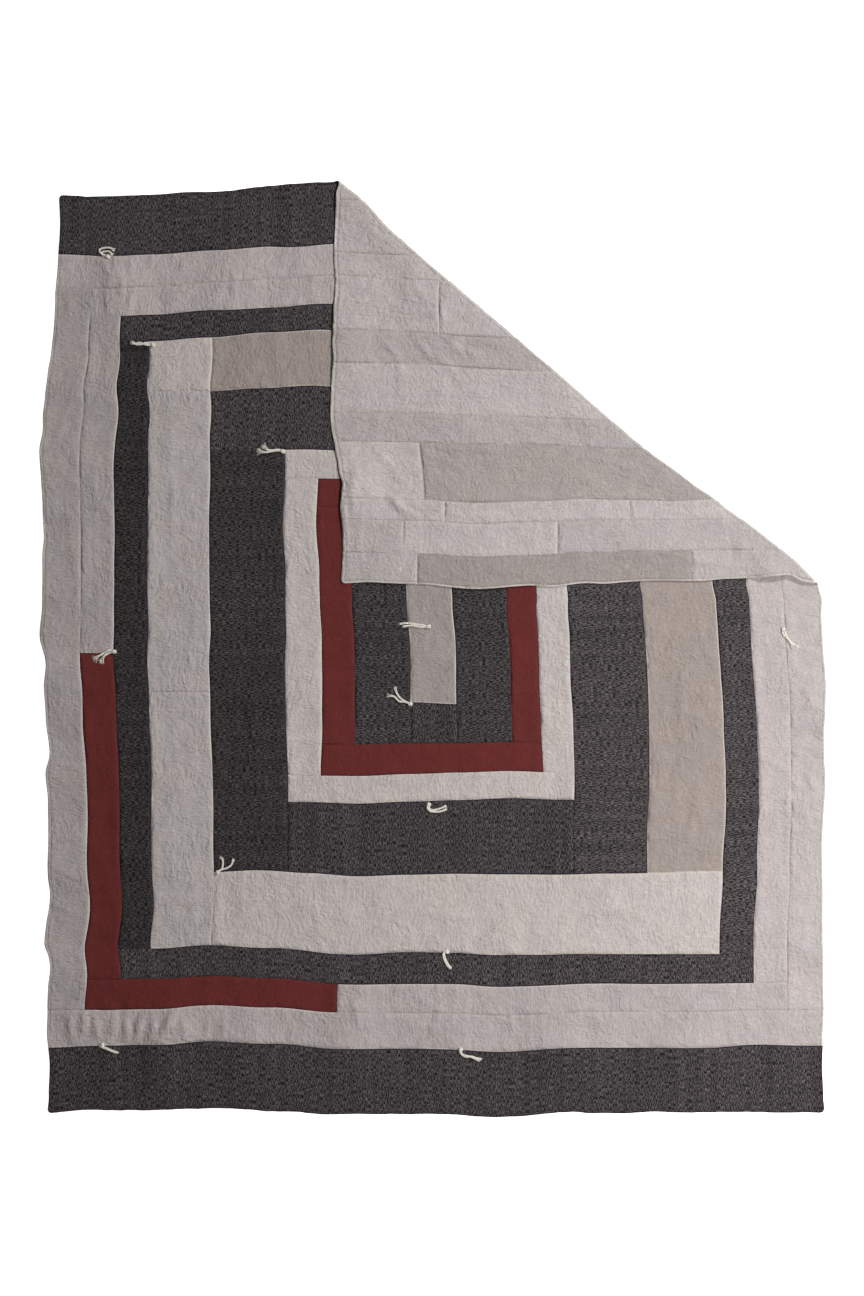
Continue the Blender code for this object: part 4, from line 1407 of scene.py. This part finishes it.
def cloth_material(name, colour, cloth_kind, line_colour, painted_rim_colour, groups):
    """Woven cloth of one dye: flecks, faded clouds, a line at bold seams (painted highlight on the pale
    front, thread with painted shade on dark cloth) and a line along the rim (painted highlight on pale
    cloth, painted shade on dark cloth), hem stitches, wrinkles and weave.
    """
    kind = CLOTH_KINDS[cloth_kind]
    material, desk, shader = new_material(
        name, Specular_IOR_Level=0.12, Sheen_Weight=kind["sheen"], Sheen_Roughness=0.5
    )
    cloth = desk.node("ShaderNodeUVMap", uv_map="Cloth").outputs["UV"]
    edge = desk.node("ShaderNodeUVMap", uv_map="Edge").outputs["UV"]
    weave = placed_group(desk, groups["weave"], Cloth=cloth, Threads=kind["threads"], Slub=kind["slub"])
    flecks = placed_group(desk, groups["flecks"], Cloth=cloth, Length=kind["length"], Width=kind["width"])
    edges = placed_group(desk, groups["edges"], Edge=edge, Cloth=cloth)
    crinkle = placed_group(desk, groups["crinkle"], Cloth=cloth, Ribs=kind["ribs"], Grain=kind["dry_grain"])

    flecked = desk.mixed(flecks["Fleck"], solid(colour, kind["low"]), solid(colour, kind["high"]))
    cool = [part * share for part, share in zip(colour, COOL_TINT)]
    tinted = desk.mixed(desk.times(flecks["Cloud"], kind["fade"]), flecked, solid(cool))
    shades = []
    for pattern, low, high, label in (
        (flecks["Grain"], 0.0, 1.0, "grain"),
        (flecks["Bars"], 0.0, 1.0, "bars"),
        (flecks["Mottle"], 0.0, 1.0, "mottle"),
        (weave["Thread"], -0.3, 0.3, "thread"),
    ):
        shades.append(desk.spread(pattern, low, high, 1.0 - kind[label], 1.0 + kind[label]))
    shade = desk.times(desk.times(shades[0], shades[1]), desk.times(shades[2], shades[3]))
    shaded = desk.node("ShaderNodeVectorMath", operation="SCALE")
    desk.wire(tinted, shaded.inputs[0])
    desk.wire(shade, shaded.inputs["Scale"])
    lined = shaded.outputs[0]
    for mask, share, over in (
        ("Seam Line", kind["line"], solid(line_colour)),
        ("Worn Rim", kind["rim"], solid(painted_rim_colour)),
        ("Stitch", STITCH_DYE, solid(colour, kind["stitch"])),
    ):
        lined = desk.mixed(desk.times(edges[mask], share), lined, over)
    desk.wire(lined, shader.inputs["Base Color"])
    desk.wire(desk.spread(weave["Height"], 0.2, 1.0, 0.96, 0.82), shader.inputs["Roughness"])
    threads = desk.times(weave["Height"], kind["weave_height"])
    sewn = desk.maths("MULTIPLY_ADD", edges["Stitch"], STITCH_HEIGHT, threads)
    desk.bump(desk.plus(sewn, crinkle["Height"]), 1.0, 1.0, shader)
    return material


def yarn_material(colour):
    """Soft cotton yarn with fine fibres, a little darker in small random patches."""
    material, desk, shader = new_material("cotton_yarn", Specular_IOR_Level=0.2, Sheen_Weight=0.4)
    place = desk.node("ShaderNodeTexCoord").outputs["Object"]
    fibres = desk.noise(place, 2600.0, 3.0, 0.7)
    clouds = desk.noise(place, 160.0, 2.0)
    shade = desk.plus(desk.times(fibres, 0.30), desk.times(clouds, 0.25))
    share = desk.spread(shade, 0.15, 0.42)
    desk.wire(desk.mixed(share, solid(colour, 0.88), solid(colour)), shader.inputs["Base Color"])
    desk.wire(desk.spread(fibres, 0.3, 0.7, 0.95, 0.8), shader.inputs["Roughness"])
    desk.bump(fibres, 0.6, 0.0003, shader)
    return material


def plain_groups():
    """The shared shader groups, built once."""
    makers = {
        "weave": ("Plain Weave", weave_group),
        "flecks": ("Yarn Flecks", streak_group),
        "crinkle": ("Washed Crinkle", crinkle_group),
        "edges": ("Sewn Edges", edge_group),
    }
    for name, maker in makers.values():
        if name not in bpy.data.node_groups:
            maker(name)
    return {key: bpy.data.node_groups[name] for key, (name, _) in makers.items()}


def cloth_stock(cloths, colours, groups):
    """Materials of the cloths by name, and the mean brightness of each."""
    materials, tones = {}, {}
    for name, kind, dye, share, line in cloths:
        colour = scaled(getattr(colours, dye), share)
        line_colour = tuple(getattr(colours, line))
        # Along the rim dark cloths get thread with painted shade, the others a painted highlight
        painted_rim_colour = tuple(getattr(colours, line if line == "thread_and_shade" else "rim_highlight"))
        materials[name] = cloth_material(f"{name}_cloth", colour, kind, line_colour, painted_rim_colour, groups)
        tones[name] = sum(colour) / 3
    return materials, tones


def tail_route(points, steps):
    """A smooth line through the points of a tail, in even steps."""
    points = np.array(points)
    padded = np.vstack((2 * points[0] - points[1], points, 2 * points[-1] - points[-2]))
    fine = []
    for before, near, far, after in zip(padded, padded[1:], padded[2:], padded[3:]):
        for share in np.linspace(0.0, 1.0, CURVE_STEPS, endpoint=False):
            bend = 2 * before - 5 * near + 4 * far - after
            swing = 3 * near - 3 * far + after - before
            fine.append(near + 0.5 * share * (far - before + share * (bend + share * swing)))
    fine = np.array(fine + [points[-1]])
    travelled = np.concatenate(([0.0], np.cumsum(np.linalg.norm(np.diff(fine, axis=0), axis=1))))
    even = np.linspace(0.0, travelled[-1], steps + 1)
    return np.column_stack([np.interp(even, travelled, fine[:, axis]) for axis in range(2)]), even


def tube(work, points, radii, sides):
    """Closed round strand along the points."""
    rings = []
    count = len(points)
    for step, (point, radius) in enumerate(zip(points, radii)):
        ahead = points[min(step + 1, count - 1)] - points[max(step - 1, 0)]
        ahead = ahead / max(np.linalg.norm(ahead), 1e-9)
        aside = np.cross(ahead, (0.0, 0.0, 1.0))
        if np.linalg.norm(aside) < 1e-4:
            aside = np.array((1.0, 0.0, 0.0))
        aside = aside / np.linalg.norm(aside)
        upward = np.cross(aside, ahead)
        ring = []
        for side in range(sides):
            angle = 2 * math.pi * side / sides
            out = math.cos(angle) * aside + math.sin(angle) * upward
            ring.append(work.verts.new(point + radius * out))
        rings.append(ring)
    for near, far in zip(rings, rings[1:]):
        for side in range(sides):
            following = (side + 1) % sides
            work.faces.new((near[side], far[side], far[following], near[following]))
    work.faces.new(rings[0])
    work.faces.new(rings[-1][::-1])


class FrontHeights:
    """Height of the finished front under any point."""

    def __init__(self, items):
        places, faces = [], []
        for item in items:
            start = len(places)
            places.extend(vertex.co.copy() for vertex in item.data.vertices)
            faces.extend([start + index for index in face.vertices] for face in item.data.polygons)
        self.tree = BVHTree.FromPolygons(places, faces)

    def at(self, x, y):
        hit = self.tree.ray_cast(Vector((x, y, RAY_FROM)), Vector((0.0, 0.0, -1.0)))
        if hit[0] is None:
            raise RuntimeError(f"a tie lies off the cloth at {x:.3f}, {y:.3f}")
        return hit[0].z


def plied_tail(work, front, points, fray_share, sizes, random):
    """One yarn tail: plies twisted together that part and fray at the end."""
    route, lengths = tail_route(points, TAIL_STEPS)
    radius = sizes.yarn_diameter / 2
    ply_radius = PLY_SHARE * radius
    ahead = np.gradient(route, axis=0)
    ahead = ahead / np.linalg.norm(ahead, axis=1, keepdims=True)
    aside = np.column_stack((-ahead[:, 1], ahead[:, 0]))
    ground = np.array([front.at(*point) for point in route])
    smooth = np.convolve(np.pad(ground, 2, mode="edge"), np.ones(5) / 5, mode="valid")
    ground = np.maximum(smooth, ground)
    fray = fray_share * ease((lengths - (lengths[-1] - FRAY_LENGTH)) / FRAY_LENGTH)
    phase = random.uniform(0, 2 * math.pi)
    for ply in range(sizes.yarn_plies):
        turn = phase + 2 * math.pi * (ply / sizes.yarn_plies + lengths / sizes.twist_length)
        reach = LAY_SHARE * radius * (1 + FRAY_SPREAD * fray)
        offset = aside * (np.cos(turn) * reach)[:, None]
        thinner = 1 - FRAY_THINNING * np.minimum(fray, MOST_FRAY)
        rise = radius + np.sin(turn) * reach * thinner
        places = np.column_stack((route + offset, ground + rise))
        tube(work, places, ply_radius * thinner, PLY_SIDES)
        fibre_ends(work, front, places, ahead[-1], random, ply_radius, fray_share)


def fibre_ends(work, front, points, ahead, random, ply_radius, fray_share):
    """Loose fibres that fan out of a ply's end."""
    start = points[-3]
    for _ in range(round(3 + 5 * fray_share)):
        spread = random.uniform(-FIBRE_TURN, FIBRE_TURN) * (0.4 + 0.6 * fray_share)
        onward, aside = math.cos(spread), math.sin(spread)
        way = np.array((ahead[0] * onward - ahead[1] * aside, ahead[0] * aside + ahead[1] * onward))
        reach = random.uniform(*FIBRE_LENGTH) + fray_share * random.uniform(*FRAYED_LENGTH)
        shares = np.linspace(0.0, 1.0, FIBRE_STEPS)
        curl = random.uniform(-FIBRE_CURL, FIBRE_CURL)
        side = np.array((-way[1], way[0]))
        flat = start[:2] + shares[:, None] * reach * way + (shares**2)[:, None] * curl * side
        lowest = np.array([front.at(*point) for point in flat]) + FIBRE_RISE
        drop = np.maximum(start[2] * (1 - shares) + lowest * shares, lowest)
        radii = ply_radius * (0.42 - 0.22 * shares)
        tube(work, np.column_stack((flat, drop)), radii, FIBRE_SIDES)


def knot_wraps(work, front, tails, sizes, random):
    """The knot: plied yarn wound round the roots of the tails, and its dive into the cloth."""
    x, y = tails[0][0]
    ahead = np.array((*(tails[0][1] + tails[1][1] - 2 * tails[0][0]), 0.0))
    ahead = ahead / np.linalg.norm(ahead)
    aside = np.array((-ahead[1], ahead[0], 0.0))
    ground = front.at(x, y)
    radius = sizes.yarn_diameter / 2
    shares = np.linspace(0.0, 1.0, KNOT_STEPS)
    wound = random.uniform(0, 2 * math.pi) + 2 * math.pi * KNOT_TURNS * shares
    centre = np.array((x, y, ground + KNOT_RISE * radius)) + ahead * KNOT_AHEAD
    for ply in range(2):
        lay = math.pi * ply + wound * KNOT_LAYS
        ring = KNOT_RING * radius + KNOT_LAY * radius * np.cos(lay)
        shift = (shares - 0.5) * KNOT_LENGTH + KNOT_LAY * radius * np.sin(lay)
        points = (
            centre
            + ahead * shift[:, None]
            + aside * (np.cos(wound) * ring)[:, None]
            + np.array((0.0, 0.0, KNOT_FLATTENED)) * (np.sin(wound) * ring)[:, None]
        )
        tube(work, points, np.full(KNOT_STEPS, KNOT_PLY * radius), PLY_SIDES)
    shares = np.linspace(0.0, 1.0, ROOT_STEPS)[:, None]
    for side in (-1, 1):
        start = centre + side * aside * radius * ROOT_SHARE - ahead * ROOT_BACK
        low = np.array((start[0], start[1], ground - ROOT_DEPTH)) - ahead * KNOT_AHEAD
        bow = np.sin(math.pi * shares) * -ahead * ROOT_BOW
        radii = np.full(ROOT_STEPS, ROOT_SHARE * radius)
        tube(work, start * (1 - shares) + low * shares + bow, radii, ROOT_SIDES)


def tied_yarn(number, row, front, sizes, material, shift):
    """One finished tie on the front."""
    random = np.random.default_rng(100 + number)
    fray_share, knot, *tails = row
    tails = [np.array((knot, *points)) + shift[:2] for points in tails]
    work = bmesh.new()
    for points in tails:
        plied_tail(work, front, points, fray_share, sizes, random)
    knot_wraps(work, front, tails, sizes, random)
    name = f"yarn_tie_{number:02d}"
    mesh = bpy.data.meshes.new(name)
    work.to_mesh(mesh)
    work.free()
    mesh.shade_smooth()
    mesh.materials.append(material)
    item = new_item(name, mesh)
    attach(item, BODY)
    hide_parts(f"tie_{number:02d}")
    return item


def length(name, description, default):
    """A length that the sidebar shows with its unit."""
    return FloatProperty(name=name, description=description, default=default, unit="LENGTH")


def amount(name, description, default):
    """A plain number that can't be below zero."""
    return FloatProperty(name=name, description=description, default=default, min=0.0)


def dye(name, description, default):
    """A colour of cloth or yarn."""
    return FloatVectorProperty(
        name=name, description=description, default=default, subtype="COLOR", size=3
    )


class QuiltSizes(PropertyGroup):
    """Sizes of the sewing and of the yarn."""

    grid_pitch: length("Grid Pitch", "Mesh pitch of the strips", 0.005)
    seam_drift: amount("Seam Drift", "How far seams and rims wander", 1.0)
    ditch_depth: length("Ditch Depth", "Depth of a seam", 0.0011)
    ditch_width: length("Ditch Width", "Half width of a seam", 0.0013)
    puff_height: length("Puff", "Swell beside a seam", 0.0006)
    pucker_height: length("Pucker", "Gathers along a seam", 0.0011)
    pucker_reach: length("Pucker Reach", "Length of the gathers", 0.018)
    rumple_height: length("Rumple", "Broad unevenness", 0.0013)
    crumple_height: length("Crumple", "Height of small wrinkles", 0.002)
    crease_share: amount("Creases", "Strength of the small creases", 1.3)
    hem_rise: length("Hem Rise", "Thickness of the turned hem", 0.0005)
    stitch_inset: length("Stitch Inset", "Hem stitches' inset", 0.0058)
    stitch_depth: length("Stitch Depth", "Depth of hem stitches", 0.0009)
    yarn_diameter: length("Yarn", "Diameter of a tie's tail", 0.0042)
    yarn_plies: IntProperty(name="Plies", description="Plies in the yarn", default=3, min=2, max=5)
    twist_length: length("Twist", "Length of a full twist", 0.014)


class QuiltColours(PropertyGroup):
    """Dyes of the cloths and the yarn."""

    charcoal: dye("Charcoal", "Dark cloth", (0.0648, 0.0557, 0.0574))
    pale: dye("Pale", "Pale cloth of the rim", (0.531, 0.468, 0.449))
    cream: dye("Cream", "Pale cloth inside", (0.638, 0.568, 0.535))
    taupe: dye("Taupe", "Taupe cloth", (0.430, 0.357, 0.322))
    grey: dye("Grey", "Cloth of the centre patch", (0.415, 0.362, 0.342))
    red: dye("Red", "Dark red cloth", (0.157, 0.0300, 0.0280))
    # Thread along dark seams with painted shade of the seam's ditch; on dark cloth it also paints the dark
    # line along the rim
    thread_and_shade: dye("Thread and Shade", "Thread along dark seams", (0.020, 0.014, 0.040))
    ash: dye("Ash", "Cool pale cloth", (0.572, 0.513, 0.494))
    # Painted highlight: the lit turned edge of pale cloth beside a bold seam
    seam_line: dye("Seam Line", "Turned edge of pale cloth", (0.710, 0.640, 0.570))
    # Painted highlight along the lit rim of pale cloth and the back, and along the fold's roll
    rim_highlight: dye("Rim Highlight", "Rim of pale cloth", (0.840, 0.768, 0.700))
    back_line: dye("Back Seam", "Line at a seam of the back", (0.420, 0.370, 0.350))
    back_linen: dye("Back", "Pale cloth of the back", (0.612, 0.546, 0.522))
    back_taupe: dye("Back Taupe", "Taupe cloth of the back", (0.492, 0.430, 0.402))
    yarn: dye("Yarn", "Cotton yarn of the ties", (0.970, 0.920, 0.830))


class QuiltStage(PropertyGroup):
    """Floor, light and camera."""

    floor_side: length("Floor Side", "Side of the floor", 14.0)
    floor_glow: amount("Floor Glow", "Light that the floor gives itself", 0.88)
    key_power: amount("Key Power", "Power of the light off the head", 127.0)
    side_power: amount("Side Power", "Power of the light off the side", 63.0)
    fill: amount("Fill", "Strength of the even light all round", 0.10)
    camera_height: length("Camera Height", "Height of the camera", 6.5)
    view_length: length("View Length", "Length in view", 2.592)


def piece_side(scene, cloths, rows, lookup_x, lookup_y, side):
    """Sew all the strips of one side of the quilt."""
    stock = cloth_stock(cloths, scene.quilt_colours, plain_groups())
    strips = cut_strips(rows, lookup_x, lookup_y, *stock)
    for strip in strips:
        sewn_strip(strip, strips, side, scene.quilt_sizes.grid_pitch)


class QUILT_OT_piece_front(Operator):
    """Sew the strips of the front"""

    bl_idname = "quilt.piece_front"
    bl_label = "Piece Front"

    def execute(self, context):
        piece_side(context.scene, FRONT_CLOTHS, FRONT_STRIPS, ACROSS.get, DOWN.get, 1)
        return {"FINISHED"}


class QUILT_OT_piece_back(Operator):
    """Sew the strips of the back"""

    bl_idname = "quilt.piece_back"
    bl_label = "Piece Back"

    def execute(self, context):
        piece_side(context.scene, BACK_CLOTHS, BACK_STRIPS, float, float, -1)
        return {"FINISHED"}


class QUILT_OT_tie_yarn(Operator):
    """Tie the yarn through the quilt"""

    bl_idname = "quilt.tie_yarn"
    bl_label = "Tie Yarn"

    def execute(self, context):
        scene = context.scene
        fronts = [item for item in scene.objects if item.name.startswith("front_")]
        if not fronts:
            raise RuntimeError("piece the front before tying the yarn")
        front = FrontHeights(fronts)
        material = yarn_material(tuple(scene.quilt_colours.yarn))
        shift = frame_shift()
        for number, row in enumerate(TIES, start=1):
            tied_yarn(number, row, front, scene.quilt_sizes, material, shift)
        return {"FINISHED"}


class QUILT_OT_set_stage(Operator):
    """Lay the floor and set the lights and the camera"""

    bl_idname = "quilt.set_stage"
    bl_label = "Set Stage"

    def execute(self, context):
        scene = context.scene
        stage = scene.quilt_stage
        lay_floor(stage)
        hang_light("key_light", KEY_PLACE, stage.key_power, True)
        hang_light("side_light", SIDE_PLACE, stage.side_power, False)
        even_light(scene, stage)
        place_camera(scene, stage)
        return {"FINISHED"}


def lay_floor(stage):
    """Plain pale floor under the quilt."""
    half = stage.floor_side / 2
    mesh = bpy.data.meshes.new("floor")
    corners = [(x * half, y * half, -FLOOR_DROP) for x, y in ((-1, -1), (1, -1), (1, 1), (-1, 1))]
    mesh.from_pydata(corners, [], [(0, 1, 2, 3)])
    floor = new_item("floor", mesh)
    white = (1.0, 1.0, 1.0)
    material, _, shader = new_material("floor_white", Roughness=0.9, Emission_Color=solid(white))
    shader.inputs["Base Color"].default_value = solid(white, 0.92)
    shader.inputs["Emission Strength"].default_value = stage.floor_glow
    mesh.materials.append(material)


def hang_light(name, place, power, aimed):
    """Round soft light, straight down or aimed at the quilt's middle."""
    lamp = bpy.data.lights.new(name, "AREA")
    lamp.shape = "DISK"
    lamp.size = LIGHT_SIZE
    lamp.energy = power
    item = new_item(name, lamp)
    item.location = place
    if aimed:
        item.rotation_euler = (-Vector(place)).to_track_quat("-Z", "Y").to_euler()


def even_light(scene, stage):
    """Even white light all round."""
    world = bpy.data.worlds.new("studio")
    world.use_nodes = True
    background = world.node_tree.nodes["Background"]
    background.inputs["Color"].default_value = (1.0, 1.0, 1.0, 1.0)
    background.inputs["Strength"].default_value = stage.fill
    scene.world = world
    scene.view_settings.view_transform = "Standard"


def place_camera(scene, stage):
    """Camera straight above the quilt."""
    camera = bpy.data.cameras.new("camera")
    camera.sensor_fit = "AUTO"
    camera.sensor_width = CAMERA_SENSOR
    camera.lens = camera.sensor_width * stage.camera_height / stage.view_length
    item = new_item("camera", camera)
    item.location = (*CAMERA_OFFSET, stage.camera_height)
    scene.camera = item


class QUILT_PT_sidebar(Panel):
    """Quilt controls in the 3D view's sidebar"""

    bl_idname = "QUILT_PT_sidebar"
    bl_label = "Quilt"
    bl_space_type = "VIEW_3D"
    bl_region_type = "UI"
    bl_category = "Quilt"

    def draw(self, context):
        layout = self.layout
        for operator in STEPS:
            layout.operator(operator.bl_idname)
        for group in (context.scene.quilt_sizes, context.scene.quilt_colours, context.scene.quilt_stage):
            box = layout.box()
            for name in group.__annotations__:
                box.prop(group, name)


STEPS = (QUILT_OT_piece_front, QUILT_OT_piece_back, QUILT_OT_tie_yarn, QUILT_OT_set_stage)
CLASSES = (QuiltSizes, QuiltColours, QuiltStage, *STEPS, QUILT_PT_sidebar)


def register():
    for item in CLASSES:
        bpy.utils.register_class(item)
    bpy.types.Scene.quilt_sizes = PointerProperty(type=QuiltSizes)
    bpy.types.Scene.quilt_colours = PointerProperty(type=QuiltColours)
    bpy.types.Scene.quilt_stage = PointerProperty(type=QuiltStage)


def unregister():
    del bpy.types.Scene.quilt_stage
    del bpy.types.Scene.quilt_colours
    del bpy.types.Scene.quilt_sizes
    for item in reversed(CLASSES):
        bpy.utils.unregister_class(item)


def main():
    """Make the whole quilt and its stage."""
    register()
    bpy.ops.quilt.piece_front()
    bpy.ops.quilt.piece_back()
    bpy.ops.quilt.tie_yarn()
    bpy.ops.quilt.set_stage()


if __name__ == "__main__":
    main()
